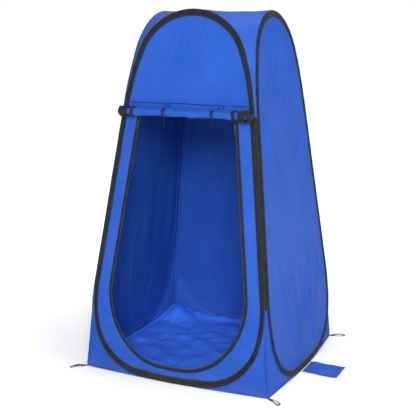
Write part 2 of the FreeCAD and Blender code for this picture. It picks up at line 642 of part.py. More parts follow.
def build():
    """Every piece of the tent, by name."""
    pieces = {}
    wire, ferrule, sleeve = make_wire(), make_ferrule(), make_sleeve()
    for side in SIDES:
        pieces[side + "_hoop_wire"] = stood(wire, side)
        pieces[side + "_hoop_ferrule"] = stood(ferrule, side)
        pieces[side + "_hoop_sleeve"] = stood(sleeve, side)
        pieces[side + "_panel"] = stood(make_panel(side == "front"), side)
        pieces[side + "_gusset_a"] = make_gusset(side, -1)
        pieces[side + "_gusset_b"] = make_gusset(side, 1)
    pieces["floor"] = make_floor()
    pieces["roof"] = make_roof()
    for name, corner in CORNERS.items():
        pieces["corner_seam_" + name] = make_corner_seam(corner)
        pieces["peg_loop_" + name] = make_peg_loop(name)
    pieces["door_header"] = stood(make_header(), "front")
    pieces["door_zip_tape"] = stood(make_zip_tape(), "front")
    pieces["door_zip_coil"] = stood(make_zip_coil(), "front")
    pieces["door_roll"] = make_roll()
    pieces["door_edge_binding"] = make_binding()
    for hand, name in ((-1, "left"), (1, "right")):
        place = TIE_PLACES[0] if hand < 0 else TIE_PLACES[1]
        pieces["zip_slider_" + name] = make_slider(hand)
        pieces["zip_pull_" + name] = make_tab(hand)
        pieces["tie_loop_" + name] = make_tie(place)
        pieces["tie_knot_" + name] = make_knot(place)
        pieces["tie_tail_" + name] = make_cord(tail_points(place), TAIL_DIAMETER, "tie_tail_" + name)
    pieces["ground_flap"] = make_flap(FLAP_HEM, FLAP_LONG, 0, FLAP_THICK)
    pieces["ground_flap_hem"] = make_flap(0, FLAP_HEM, 0, 1.5 * FLAP_THICK)
    return pieces


def show_axes():
    """Joint axes, for the record."""
    for name, corner in CORNERS.items():
        low, high = fold_line(corner, 0), fold_line(corner, 1000)
        print(f"fold line {name}: through {tuple(low)}, along {tuple((high - low).normalize())}")
    for hand, name in ((-1, "left"), (1, "right")):
        down = Vec(hand * sin(TAPER), -cos(TAPER), 0)
        slide = wall_to_world(down, "front") - wall_to_world(Vec(), "front")
        centre = side_point(DOOR, SLIDER_HEIGHT) + ACROSS * (ZIP_COIL_WIDE / 2) + ALONG * tab_pin_along()
        pin = wall_to_world(Vec(hand * centre.x, centre.y, TAB_PIN_OUT), "front")
        pin_axis = wall_to_world(Vec(cos(TAPER), hand * sin(TAPER), 0), "front") - wall_to_world(Vec(), "front")
        print(f"zip {name}: slides along {tuple(slide)}, pull pin {tuple(pin)}, along {tuple(pin_axis)}")
    hem = wall_to_world(Vec(0, HEADER_HEIGHT, HEM_OUT), "front")
    print(f"door roll hinge: through {tuple(hem)}")
    for name in CORNERS:
        print(f"peg loop {name}: root {tuple(peg_loop_root(name))}, turn {PEG_LOOP_TURNS[name]}")
    print(f"flap hinge: x {FLAP_ROOT}")
    for place in TIE_PLACES:
        print("tail route", [tuple(round(c, 2) for c in point) for point in tail_points(place)])


def main():
    os.makedirs("parts", exist_ok=True)
    for name, shape in build().items():
        box = shape.BoundBox
        print(f"{name:28s} solids {len(shape.Solids)} valid {shape.isValid()} volume {shape.Volume:.0f} "
              f"x {box.XMin:.1f}..{box.XMax:.1f} y {box.YMin:.1f}..{box.YMax:.1f} z {box.ZMin:.1f}..{box.ZMax:.1f}")
        shape.exportStep(f"parts/{name}.step")
    show_axes()


main()
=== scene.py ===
"""A privacy shower tent: four hooped fabric walls round a square floor, joined along their corners.

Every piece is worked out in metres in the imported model's own frame, +Z up, with the doorway facing -Y.
"""

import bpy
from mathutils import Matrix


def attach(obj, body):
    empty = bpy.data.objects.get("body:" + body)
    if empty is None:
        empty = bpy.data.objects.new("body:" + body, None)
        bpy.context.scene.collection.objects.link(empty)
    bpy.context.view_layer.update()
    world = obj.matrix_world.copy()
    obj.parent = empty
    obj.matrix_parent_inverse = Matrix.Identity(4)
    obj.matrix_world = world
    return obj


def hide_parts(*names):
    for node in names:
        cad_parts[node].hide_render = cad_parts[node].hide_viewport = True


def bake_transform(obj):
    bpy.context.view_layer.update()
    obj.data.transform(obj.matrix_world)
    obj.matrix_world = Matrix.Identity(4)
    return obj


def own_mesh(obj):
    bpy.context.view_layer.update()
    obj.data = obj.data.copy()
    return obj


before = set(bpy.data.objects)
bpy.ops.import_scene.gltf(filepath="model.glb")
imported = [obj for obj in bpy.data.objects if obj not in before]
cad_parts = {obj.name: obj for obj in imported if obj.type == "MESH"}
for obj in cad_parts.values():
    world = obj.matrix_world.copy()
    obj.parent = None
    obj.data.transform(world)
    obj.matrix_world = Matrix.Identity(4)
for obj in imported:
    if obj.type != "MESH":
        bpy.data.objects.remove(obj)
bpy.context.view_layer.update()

import logging
import math
from dataclasses import dataclass, field
from enum import Enum

import bmesh
import bpy
import numpy as np
from mathutils import Matrix, Vector

logging.basicConfig(level=logging.INFO, format="%(message)s")
LOG = logging.getLogger("tent")

LEAN = math.radians(7.27)
FOOT = 0.556
TAPER = math.atan(math.sin(LEAN))
ACROSS = np.array([math.cos(TAPER), math.sin(TAPER)])
ALONG = np.array([-math.sin(TAPER), math.cos(TAPER)])
HEADER_TOP = 1.427
ROLL_AXIS = (1.394, 0.036)     # height up the front wall and distance out of it of the rolled door's axis
HEADER_LOW = 1.411


# ---------------------------------------------------------------- shapes

def smooth(t: np.ndarray) -> np.ndarray:
    """The ease curve 3t^2 - 2t^3 of t held between 0 and 1."""
    t = np.clip(t, 0.0, 1.0)
    return t * t * (3.0 - 2.0 * t)


def waves(x: np.ndarray, y: np.ndarray, seed: int, size: float, count: int = 9) -> np.ndarray:
    """A soft uneven field: the sum of plane waves with seeded headings, lengths and phases.

    Args:
        x, y: where it is wanted, in metres.
        seed: picks the waves.
        size: the typical length of a wave, in metres.
        count: how many waves are added.

    Returns:
        Values of about -1 to 1, in the shape of x.
    """
    rng = np.random.default_rng(seed)
    heading, phase = rng.uniform(0, math.tau, (2, count))
    number = math.tau / (size * rng.uniform(0.6, 1.7, count))
    total = np.zeros(np.broadcast(x, y).shape)
    for h, p, k in zip(heading, phase, number):
        total = total + np.sin(k * (x * math.cos(h) + y * math.sin(h)) + p)
    return total / math.sqrt(count)


def crumple(x: np.ndarray, y: np.ndarray, seed: int, size: float, count: int = 7) -> np.ndarray:
    """Sharp creases between flat facets: the mean of 1 - 2|sin| of plane waves whose lines wander.

    Args:
        x, y: where it is wanted, in metres.
        seed: picks the folds.
        size: the distance between folds, in metres.
        count: how many sets of folds are laid over each other.

    Returns:
        Values of about -1 to 1, in the shape of x.
    """
    rng = np.random.default_rng(seed)
    total = np.zeros(np.broadcast(x, y).shape)
    for i in range(count):
        heading, phase = rng.uniform(0, math.tau, 2)
        number = math.pi / (size * rng.uniform(0.55, 1.6))
        bent = 0.9 * waves(x, y, seed * 31 + i, size * 2.6, 4)
        total = total + 1.0 - 2.0 * np.abs(
            np.sin(number * (x * math.cos(heading) + y * math.sin(heading)) + phase + bent))
    return total / math.sqrt(count)


@dataclass(frozen=True)
class Creases:
    """A handful of pulled creases: each a straight ridge that swells and dies out along its length."""

    starts: np.ndarray
    ends: np.ndarray
    widths: np.ndarray
    heights: np.ndarray

    def height(self, x: np.ndarray, y: np.ndarray) -> np.ndarray:
        """The sum over creases of height * exp(-(distance / width)^2) * sin(pi * share along)^0.7.

        Args:
            x, y: where it is wanted, in metres.

        Returns:
            The rise of the cloth, in metres.
        """
        total = np.zeros(np.broadcast(x, y).shape)
        for a, b, w, h in zip(self.starts, self.ends, self.widths, self.heights):
            run = b - a
            long = float(np.hypot(*run)) + 1e-9
            t = ((x - a[0]) * run[0] + (y - a[1]) * run[1]) / long**2
            off = ((x - a[0]) * run[1] - (y - a[1]) * run[0]) / long
            body = np.sin(np.pi * np.clip(t, 0.0, 1.0)) ** 0.7
            total += h * np.exp(-((off / (w * (0.6 + 0.8 * np.clip(t, 0, 1)))) ** 2)) * body
        return total

    @staticmethod
    def fan(seed: int, centre: tuple[float, float], angles: tuple[float, float], near: tuple[float, float],
            far: tuple[float, float], count: int, width: float, height: float) -> "Creases":
        """Creases that spread from a pulled point.

        Args:
            seed: picks their places.
            centre: the point that they point to.
            angles: the first and last heading, in degrees from across.
            near: the least and most distance of their starts from the centre.
            far: the same for their ends.
            count: how many there are.
            width: their typical width.
            height: their typical rise.

        Returns:
            The creases.
        """
        rng = np.random.default_rng(seed)
        share = (np.arange(count) + rng.uniform(0.1, 0.9, count)) / count
        heading = np.radians(angles[0] + (angles[1] - angles[0]) * share)
        way = np.stack([np.cos(heading), np.sin(heading)], 1)
        turn = np.stack([-way[:, 1], way[:, 0]], 1) * rng.uniform(-0.03, 0.03, (count, 1))
        a = np.array(centre) + way * rng.uniform(*near, (count, 1))
        b = np.array(centre) + way * rng.uniform(*far, (count, 1)) + turn
        sign = np.where(rng.uniform(0, 1, count) < 0.3, -0.7, 1.0)
        return Creases(a, b, width * rng.uniform(0.6, 1.5, count),
                       height * rng.uniform(0.5, 1.3, count) * sign)


@dataclass(frozen=True)
class WallFrame:
    """A wall's own plane: u across it, v up its slope and n outwards from it."""

    turn: float

    def place(self, u: np.ndarray, v: np.ndarray, n: np.ndarray) -> np.ndarray:
        """Leans the wall inwards by LEAN about its foot and turns it about the tent's upright axis.

        Args:
            u, v, n: places in the wall's plane, in metres.

        Returns:
            Points in the model's frame, with a last axis of 3.
        """
        u, v, n = np.broadcast_arrays(u, v, n)
        x, y = u, -FOOT + v * math.sin(LEAN) - n * math.cos(LEAN)
        z = v * math.cos(LEAN) + n * math.sin(LEAN)
        c, s = math.cos(math.radians(self.turn)), math.sin(math.radians(self.turn))
        return np.stack([x * c - y * s, x * s + y * c, z], -1)

    def outwards(self) -> tuple[float, float, float]:
        """The wall's outward direction, level."""
        return math.sin(math.radians(self.turn)), -math.cos(math.radians(self.turn)), 0.0


@dataclass(frozen=True)
class Outline:
    """A hoop's outline, of arcs that run into each other, with its right half from the top to the bottom."""

    side: float
    top: float
    bottom: float
    r_top: float
    r_shoulder: float
    flank_start: float
    r_flank: float
    r_corner: float
    r_bottom: float

    def centres(self) -> tuple[np.ndarray, np.ndarray, np.ndarray, np.ndarray, np.ndarray]:
        """The centres of the top, shoulder, flank, corner and bottom arcs, each tangent to its neighbours."""
        top = np.array([0.0, self.top - self.r_top])
        offset = self.side * ACROSS[0] - self.r_shoulder - top @ ACROSS
        drop = math.sqrt(max((self.r_shoulder - self.r_top) ** 2 - offset**2, 0.0))
        shoulder = top + ACROSS * offset - ALONG * drop
        flank_top = np.array([self.side - self.flank_start * math.tan(TAPER), self.flank_start])
        flank = flank_top - ACROSS * self.r_flank
        bottom = np.array([0.0, self.bottom + self.r_bottom])
        ra, rb = self.r_flank - self.r_corner, self.r_bottom - self.r_corner
        between = bottom - flank
        d = float(np.hypot(*between))
        a = (ra**2 - rb**2 + d**2) / (2 * d)
        h = math.sqrt(max(ra**2 - a**2, 0.0))
        mid, across = flank + between * a / d, np.array([between[1], -between[0]]) / d
        corner = max((mid + across * h, mid - across * h), key=lambda p: p[0] - p[1])
        return top, shoulder, flank, corner, bottom

    def half(self, counts: tuple[int, int, int, int, int, int]) -> np.ndarray:
        """Samples the right half evenly along the top, shoulder, side, flank, corner and bottom.

        Args:
            counts: how many steps each of the six takes.

        Returns:
            Points (u, v) from the top's middle to the bottom's middle.
        """
        top, shoulder, flank, corner, bottom = self.centres()
        one = math.atan2(*(top - shoulder)[::-1])
        two = math.atan2(*(corner - flank)[::-1])
        three = math.atan2(*(corner - bottom)[::-1])
        spans = [(top, self.r_top, math.pi / 2, one), (shoulder, self.r_shoulder, one, TAPER), None,
                 (flank, self.r_flank, TAPER, two), (corner, self.r_corner, two, three),
                 (bottom, self.r_bottom, three, -math.pi / 2)]
        pieces = []
        for span, count in zip(spans, counts):
            t = np.arange(count) / count
            if span is None:
                a = shoulder + ACROSS * self.r_shoulder
                b = flank + ACROSS * self.r_flank
                pieces.append(a + (b - a) * t[:, None])
                continue
            centre, radius, start, stop = span
            angle = start + (stop - start) * t
            pieces.append(centre + radius * np.stack([np.cos(angle), np.sin(angle)], 1))
        pieces.append(np.array([[0.0, self.bottom]]))
        return np.concatenate(pieces)

    def reach(self, v: np.ndarray) -> np.ndarray:
        """Half the width at heights above the flank: the least of the arcs that apply."""
        top, shoulder = self.centres()[:2]
        side = self.side - v * math.tan(TAPER)
        joint = (shoulder + ACROSS * self.r_shoulder)[1]
        one = math.atan2(*(top - shoulder)[::-1])
        knee = (shoulder + self.r_shoulder * np.array([math.cos(one), math.sin(one)]))[1]
        arc = shoulder[0] + np.sqrt(np.maximum(self.r_shoulder**2 - (v - shoulder[1]) ** 2, 0))
        cap = np.sqrt(np.maximum(self.r_top**2 - (v - top[1]) ** 2, 0))
        return np.where(v < joint, side, np.where(v < knee, arc, cap))


INNER = Outline(0.51971, 1.887, 0.036, 0.285, 1.330, 0.478, 0.640, 0.290, 2.100)
OUTER = Outline(0.54390, 1.923, 0.001, 0.315, 1.354, 0.4810, 0.664, 0.3195, 2.135)
DOOR = Outline(0.43907, 1.700, 0.085, 0.20, 0.90, 0.505, 0.396, 0.297, 1.280)
RIM_DEPTH = -0.0032


def enclosed(loop: np.ndarray) -> float:
    """The area inside a flat closed loop, by the shoelace sum."""
    x, y = loop.T
    return float(abs(np.sum(x * np.roll(y, -1) - y * np.roll(x, -1))) / 2)


def pair(a: np.ndarray, b: np.ndarray) -> np.ndarray:
    """Two arrays spread over each other and joined as the two parts of a last axis."""
    return np.stack(np.broadcast_arrays(a, b), -1)


def ridge(t: np.ndarray) -> np.ndarray:
    """The arch sin(pi t): nothing at both ends, 1 in the middle."""
    return np.sin(np.pi * t)


def loop_of(half: np.ndarray) -> np.ndarray:
    """A whole outline from its right half: down the right side, then up the left as its mirror."""
    return np.concatenate([half, half[-2:0:-1] * np.array([-1.0, 1.0])])


def normals_of(path: np.ndarray, closed: bool) -> np.ndarray:
    """The sideways unit direction of a flat path, to the left of its way, by central differences."""
    if closed:
        run = np.roll(path, -1, 0) - np.roll(path, 1, 0)
    else:
        run = np.gradient(path, axis=0)
    run = run / np.maximum(np.linalg.norm(run, axis=1, keepdims=True), 1e-12)
    return np.stack([-run[:, 1], run[:, 0]], 1)


def travel(path: np.ndarray) -> np.ndarray:
    """How far along a path each of its points lies, by adding up its steps."""
    return np.concatenate([[0.0], np.cumsum(np.linalg.norm(np.diff(path, axis=0), axis=1))])


def sweep(path: np.ndarray, side: np.ndarray, out: np.ndarray, section: np.ndarray) -> np.ndarray:
    """A section carried along a path: point = path + section[0] * side + section[1] * out.

    Args:
        path, side, out: arrays of (N, 3), the line and its two square directions.
        section: array of (M, 2) or (N, M, 2).

    Returns:
        A grid of (N, M, 3).
    """
    section = np.broadcast_to(section, (len(path), *section.shape[-2:]))
    return path[:, None] + section[..., :1] * side[:, None] + section[..., 1:] * out[:, None]


def frames_along(path: np.ndarray, up: np.ndarray) -> tuple[np.ndarray, np.ndarray]:
    """Two square directions along a line in space: side = way x up, and out = side x way."""
    way = np.gradient(path, axis=0)
    way /= np.maximum(np.linalg.norm(way, axis=1, keepdims=True), 1e-12)
    side = np.cross(way, np.broadcast_to(up, way.shape))
    side /= np.maximum(np.linalg.norm(side, axis=1, keepdims=True), 1e-12)
    return side, np.cross(side, way)


def rounded(wide: float, thick: float, count: int = 16, power: float = 0.45) -> np.ndarray:
    """A flat strap's section: a superellipse of the given width and thickness, as (count, 2) points."""
    a = np.arange(count) / count * math.tau
    c, s = np.cos(a), np.sin(a)
    return np.stack([wide / 2 * np.sign(c) * np.abs(c) ** power,
                     thick / 2 * np.sign(s) * np.abs(s) ** power], 1)


class Grids:
    """Gathers point grids and turns them into one mesh object at the origin."""

    def __init__(self, name: str) -> None:
        """Starts an empty piece of that name."""
        self.name = name
        self.points: list[np.ndarray] = []
        self.faces: list[np.ndarray] = []
        self.uvs: list[np.ndarray] = []
        self.count = 0

    def add(self, grid: np.ndarray, uv: np.ndarray | None = None, wrap: bool = False, flip: bool = False,
            caps: bool = False) -> "Grids":
        """Adds a grid of (R, C, 3) points as quads.

        Args:
            grid: the points.
            uv: (R, C, 2) lengths in metres along the cloth; by default the grid's own x and z.
            wrap: joins the last column to the first.
            flip: turns the faces over.
            caps: closes the first and last rows of a wrapped grid with fans.

        Returns:
            This collection.
        """
        rows, cols = grid.shape[:2]
        r = np.arange(rows - 1)[:, None]
        c = np.arange(cols if wrap else cols - 1)[None, :]
        d = (c + 1) % cols
        quads = np.stack([r * cols + c, r * cols + d, (r + 1) * cols + d, (r + 1) * cols + c], -1)
        quads = quads.reshape(-1, 4)
        if flip:
            quads = quads[:, ::-1]
        self.faces.append(quads + self.count)
        self.points.append(grid.reshape(-1, 3))
        if uv is None:
            uv = grid[..., [0, 2]]
        self.uvs.append(np.broadcast_to(uv, (rows, cols, 2)).reshape(-1, 2))
        self.count += rows * cols
        if caps:
            first = self.count - rows * cols
            for row, turned in ((0, not flip), (rows - 1, flip)):
                self.points.append(grid[row].mean(0)[None])
                self.uvs.append(np.broadcast_to(uv, (rows, cols, 2))[row].mean(0)[None])
                ring = first + row * cols + np.arange(cols)
                ahead, hub = np.roll(ring, -1), np.full(cols, self.count)
                fan = (hub, ahead, ring, ring) if turned else (hub, ring, ahead, ahead)
                self.faces.append(np.stack(fan, 1))
                self.count += 1
        return self

    def build(self, merge: float = 2e-5, outward: bool = False,
              facing: tuple[float, float, float] | None = None) -> bpy.types.Object:
        """Makes the mesh, with its doubles merged and its faces smooth.

        Args:
            merge: how near points are when they are made one; 0 leaves them.
            outward: works out the face directions again, for a closed shape.
            facing: the way that an open sheet's front faces on the whole.

        Returns:
            The new object, linked to the scene.
        """
        faces = [[i for k, i in enumerate(f) if k == 0 or i != f[k - 1]]
                 for f in np.concatenate(self.faces).tolist()]
        mesh = bpy.data.meshes.new(self.name)
        mesh.from_pydata(np.concatenate(self.points).tolist(), [], faces)
        layer = mesh.uv_layers.new(name="Cloth")
        index = np.zeros(len(mesh.loops), np.int32)
        mesh.loops.foreach_get("vertex_index", index)
        layer.data.foreach_set("uv", np.concatenate(self.uvs)[index].astype(np.float32).ravel())
        if merge or outward:
            work = bmesh.new()
            work.from_mesh(mesh)
            if merge:
                bmesh.ops.remove_doubles(work, verts=work.verts, dist=merge)
            if outward or facing:
                bmesh.ops.recalc_face_normals(work, faces=work.faces)
            if facing:
                total = sum((f.normal * f.calc_area() for f in work.faces), Vector())
                if total.dot(Vector(facing)) < 0:
                    bmesh.ops.reverse_faces(work, faces=work.faces)
            work.to_mesh(mesh)
            work.free()
        mesh.validate()
        mesh.polygons.foreach_set("use_smooth", np.ones(len(mesh.polygons), bool))
        made = bpy.data.objects.new(self.name, mesh)
        bpy.context.scene.collection.objects.link(made)
        return made


def thicken(made: bpy.types.Object, thick: float, offset: float = 0.0) -> None:
    """Gives a sheet its cloth thickness with a Solidify modifier."""
    solid = made.modifiers.new("Cloth", "SOLIDIFY")
    solid.thickness, solid.offset, solid.use_even_offset = thick, offset, False


def dress(made: bpy.types.Object, finish: bpy.types.Material, slot: str, body: str | None,
          *replaced: str) -> bpy.types.Object:
    """Gives a piece its finish and its body, and hides the CAD nodes that it stands for.

    Args:
        made: the piece.
        finish: its material.
        slot: not used.
        body: the body that it rides, or None for a piece that rides none.
        replaced: the nodes.

    Returns:
        The piece.
    """
    made.data.materials.clear()
    made.data.materials.append(finish)
    if replaced:
        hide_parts(*replaced)
    if body:
        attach(made, body)
    LOG.info("%s: %d points, rides %s", made.name, len(getattr(made.data, "vertices", [])),
             body or "two bodies")
    return made


# ---------------------------------------------------------------- finishes

class Nodes:
    """A short way to lay out shader nodes in one tree."""

    def __init__(self, tree: bpy.types.NodeTree) -> None:
        """Works on that tree."""
        self.tree = tree

    def new(self, kind: str, settings: dict | None = None, **inputs: object) -> bpy.types.Node:
        """Adds a node, sets its own settings, then sets or links its inputs by name, with _ for spaces."""
        node = self.tree.nodes.new(kind)
        for key, value in (settings or {}).items():
            setattr(node, key, value)
        for key, value in inputs.items():
            socket = node.inputs[int(key[1:])] if key[0] == "i" and key[1:].isdigit() else node.inputs[
                key.replace("_", " ")]
            if isinstance(value, bpy.types.NodeSocket):
                self.tree.links.new(value, socket)
            else:
                socket.default_value = value
        return node

    def math(self, operation: str, a: object, b: object = 0.0, c: object = 0.0) -> bpy.types.NodeSocket:
        """One step of arithmetic; gives its output."""
        return self.new("ShaderNodeMath", {"operation": operation}, i0=a, i1=b, i2=c).outputs[0]

    def ramp(self, value: object, stops: list[tuple[float, tuple]]) -> bpy.types.NodeSocket:
        """A colour ramp with those stops."""
        node = self.new("ShaderNodeValToRGB", i0=value)
        ramp = node.color_ramp
        while len(ramp.elements) < len(stops):
            ramp.elements.new(0.5)
        for element, (place, colour) in zip(ramp.elements, stops):
            element.position, element.color = place, colour
        return node.outputs[0]

    def mix(self, share: object, a: object, b: object, blend: str = "MIX") -> bpy.types.NodeSocket:
        """A mix of two colours."""
        node = self.new("ShaderNodeMix", {"data_type": "RGBA", "blend_type": blend})
        for index, value in ((0, share), (6, a), (7, b)):
            if isinstance(value, bpy.types.NodeSocket):
                self.tree.links.new(value, node.inputs[index])
            else:
                node.inputs[index].default_value = value
        return node.outputs[2]


def group(name: str, inputs: list[tuple[str, str, object]], outputs: list[tuple[str, str]]) -> tuple[
        bpy.types.NodeTree, Nodes, bpy.types.Node, bpy.types.Node]:
    """An empty shader node group.

    Args:
        name: its name.
        inputs: (name, socket kind, default) of each input.
        outputs: (name, socket kind) of each output.

    Returns:
        The tree, its layout helper, its input node and its output node.
    """
    tree = bpy.data.node_groups.new(name, "ShaderNodeTree")
    for label, kind, default in inputs:
        socket = tree.interface.new_socket(name=label, in_out="INPUT", socket_type=kind)
        if default is not None:
            socket.default_value = default
    for label, kind in outputs:
        tree.interface.new_socket(name=label, in_out="OUTPUT", socket_type=kind)
    nodes = Nodes(tree)
    return tree, nodes, nodes.new("NodeGroupInput"), nodes.new("NodeGroupOutput")


FLOAT, VECTOR, COLOUR = "NodeSocketFloat", "NodeSocketVector", "NodeSocketColor"


def weave_group() -> bpy.types.NodeTree:
    """Plain weave: warp and weft as two sine ridges at right angles, over and under in a chequer."""
    tree, n, a, z = group("Plain weave", [("Place", VECTOR, None), ("Thread", FLOAT, 0.0006)],
                          [("Height", FLOAT), ("Gap", FLOAT)])
    part = n.new("ShaderNodeSeparateXYZ", i0=a.outputs["Place"])
    step = n.math("DIVIDE", math.pi, a.outputs["Thread"])
    one = n.math("SINE", n.math("MULTIPLY", part.outputs[0], step))
    two = n.math("SINE", n.math("MULTIPLY", part.outputs[1], step))
    cross = n.math("MULTIPLY", one, two)
    ridge = n.math("MULTIPLY", n.math("ABSOLUTE", one), n.math("ABSOLUTE", two))
    n.tree.links.new(n.math("ADD", n.math("MULTIPLY", cross, 0.35), ridge), z.inputs["Height"])
    # Gap: high between the threads, where the woven finishes paint shade.
    n.tree.links.new(n.math("SUBTRACT", 1.0, n.math("POWER", ridge, 0.5)), z.inputs["Gap"])
    return tree


def rumple_group() -> bpy.types.NodeTree:
    """Handled cloth: broad soft noise for its folds, ridged noise for the fine lines of packing."""
    tree, n, a, z = group("Rumple", [("Place", VECTOR, None), ("Broad", FLOAT, 6.0), ("Fine", FLOAT, 40.0)],
                          [("Height", FLOAT), ("Shade", FLOAT), ("Lines", FLOAT)])
    broad = n.new("ShaderNodeTexNoise", Vector=a.outputs["Place"], Scale=a.outputs["Broad"], Detail=4.0)
    fine = n.new("ShaderNodeTexNoise", Vector=a.outputs["Place"], Scale=a.outputs["Fine"], Detail=5.0,
                 Distortion=0.4)
    lines = n.math("SUBTRACT", 1.0, n.math("MULTIPLY", n.math("ABSOLUTE", n.math(
        "SUBTRACT", fine.outputs[0], 0.5)), 7.0))
    lines = n.math("POWER", n.math("MAXIMUM", lines, 0.0), 3.0)
    height = n.math("ADD", n.math("MULTIPLY", broad.outputs[0], 1.0), n.math("MULTIPLY", lines, 0.12))
    n.tree.links.new(height, z.inputs["Height"])
    # Shade: the broad fold noise itself, which the woven finishes paint as shade in its low places and light
    # on its high places.
    n.tree.links.new(broad.outputs[0], z.inputs["Shade"])
    n.tree.links.new(lines, z.inputs["Lines"])
    return tree


def stitch_group() -> bpy.types.NodeTree:
    """A row of stitches along a line: a short dash in each step of the length, as wide as the thread."""
    tree, n, a, z = group("Stitch row", [("Along", FLOAT, 0.0), ("Off", FLOAT, 0.0), ("Step", FLOAT, 0.004),
                                         ("Thread", FLOAT, 0.0006)], [("Mask", FLOAT), ("Dent", FLOAT)])
    cell = n.math("FRACT", n.math("DIVIDE", a.outputs["Along"], a.outputs["Step"]))
    dash = n.math("LESS_THAN", n.math("ABSOLUTE", n.math("SUBTRACT", cell, 0.5)), 0.36)
    off = n.math("ABSOLUTE", a.outputs["Off"])
    near = n.math("LESS_THAN", off, a.outputs["Thread"])
    n.tree.links.new(n.math("MULTIPLY", dash, near), z.inputs["Mask"])
    wide = n.math("MULTIPLY", a.outputs["Thread"], 3.0)
    dent = n.math("MAXIMUM", n.math("SUBTRACT", 1.0, n.math("DIVIDE", off, wide)), 0.0)
    n.tree.links.new(dent, z.inputs["Dent"])
    return tree


def dust_group() -> bpy.types.NodeTree:
    """Ground dust: a mask that is strongest at the ground and fades with height, broken up by noise."""
    tree, n, a, z = group("Ground dust", [("Place", VECTOR, None), ("Reach", FLOAT, 0.12)], [("Mask", FLOAT)])
    part = n.new("ShaderNodeSeparateXYZ", i0=a.outputs["Place"])
    rise = n.math("DIVIDE", part.outputs[2], a.outputs["Reach"])
    fade = n.math("MAXIMUM", n.math("SUBTRACT", 1.0, rise), 0.0)
    noise = n.new("ShaderNodeTexNoise", Vector=a.outputs["Place"], Scale=45.0, Detail=6.0)
    n.tree.links.new(n.math("MULTIPLY", n.math("POWER", fade, 2.0), noise.outputs[0]), z.inputs["Mask"])
    return tree


class Groups:
    """The effects that several finishes share, each built once."""

    def __init__(self) -> None:
        """Builds the four groups."""
        self.weave, self.rumple = weave_group(), rumple_group()
        self.stitch, self.dust = stitch_group(), dust_group()


class Gloss(Enum):
    """How shiny a woven finish is: (roughness, coat weight, specular level)."""

    DULL = (0.70, 0.0, 0.12)
    SATIN = (0.50, 0.0, 0.05)
    SILKY = (0.46, 0.0, 0.10)
    WET = (0.38, 0.10, 0.30)


@dataclass(frozen=True)
class Woven:
    """A woven or coated cloth or webbing."""

    name: str
    colour: tuple[float, float, float]
    # shade: the darker colour painted as shade in the low places of the fold noise and in the weave's gaps
    shade: tuple[float, float, float]
    thread: float
    weave: float
    broad: float
    fine: float
    rumple: float
    gloss: Gloss
    dust: float = 0.07
    edges: tuple[float, ...] = ()
    thread_colour: tuple[float, float, float] = (0.02, 0.05, 0.3)
    sheen: float = 0.0

    def build(self, groups: Groups) -> bpy.types.Material:
        """Lays out the shader: painted shade and light from the rumple's broad folds, painted shade in the
        gaps of the weave, stitches and dust over it.

        Args:
            groups: the shared effects.

        Returns:
            The material.
        """
        made = bpy.data.materials.new(self.name)
        made.use_nodes = True
        made.node_tree.nodes.clear()
        n = Nodes(made.node_tree)
        where = n.new("ShaderNodeTexCoord")
        own = n.new("ShaderNodeUVMap", {"uv_map": "Cloth"}).outputs[0]
        place = where.outputs["Object"]
        weave = n.new("ShaderNodeGroup", {"node_tree": groups.weave}, Place=own, Thread=self.thread)
        rumple = n.new("ShaderNodeGroup", {"node_tree": groups.rumple}, Place=place, Broad=self.broad,
                       Fine=self.fine)
        dust = n.new("ShaderNodeGroup", {"node_tree": groups.dust}, Place=place)
        painted_shade, plain = (*self.shade, 1.0), (*self.colour, 1.0)
        # Painted shade and light: the shade colour in the low places of the broad fold noise, a lighter copy
        # of the colour on its high places.
        colour = n.ramp(rumple.outputs["Shade"], [(0.3, painted_shade), (0.52, plain), (0.8, tuple(
            min(1.0, c * 1.12) for c in self.colour) + (1.0,))])
        # Painted shade in the gaps of the weave.
        colour = n.mix(n.math("MULTIPLY", weave.outputs["Gap"], 0.22), colour, painted_shade)
        height = n.math("ADD", n.math("MULTIPLY", weave.outputs["Height"], self.weave),
                        n.math("MULTIPLY", rumple.outputs["Height"], self.rumple))
        part = n.new("ShaderNodeSeparateXYZ", i0=own)
        for edge in self.edges:
            row = n.new("ShaderNodeGroup", {"node_tree": groups.stitch}, Along=part.outputs[0],
                        Off=n.math("SUBTRACT", part.outputs[1], edge))
            colour = n.mix(row.outputs["Mask"], colour, (*self.thread_colour, 1.0))
            height = n.math("SUBTRACT", height, n.math("MULTIPLY", row.outputs["Dent"], 0.0009))
            height = n.math("ADD", height, n.math("MULTIPLY", row.outputs["Mask"], 0.0007))
        colour = n.mix(n.math("MULTIPLY", dust.outputs["Mask"], self.dust), colour, (0.42, 0.38, 0.33, 1.0))
        rough = n.math("ADD", self.gloss.value[0] - 0.06, n.math("MULTIPLY", rumple.outputs["Shade"], 0.12))
        rough = n.math("ADD", rough, n.math("MULTIPLY", dust.outputs["Mask"], 0.3))
        bump = n.new("ShaderNodeBump", Strength=1.0, Distance=1.0, Height=height)
        shader = n.new("ShaderNodeBsdfPrincipled", Base_Color=colour, Roughness=rough, Normal=bump.outputs[0])
        shader.inputs["Specular IOR Level"].default_value = self.gloss.value[2]
        shader.inputs["Coat Weight"].default_value = self.gloss.value[1]
        shader.inputs["Coat Roughness"].default_value = 0.3
        shader.inputs["Sheen Weight"].default_value = self.sheen
        shader.inputs["Sheen Roughness"].default_value = 0.5
        n.new("ShaderNodeOutputMaterial", Surface=shader.outputs[0])
        return made


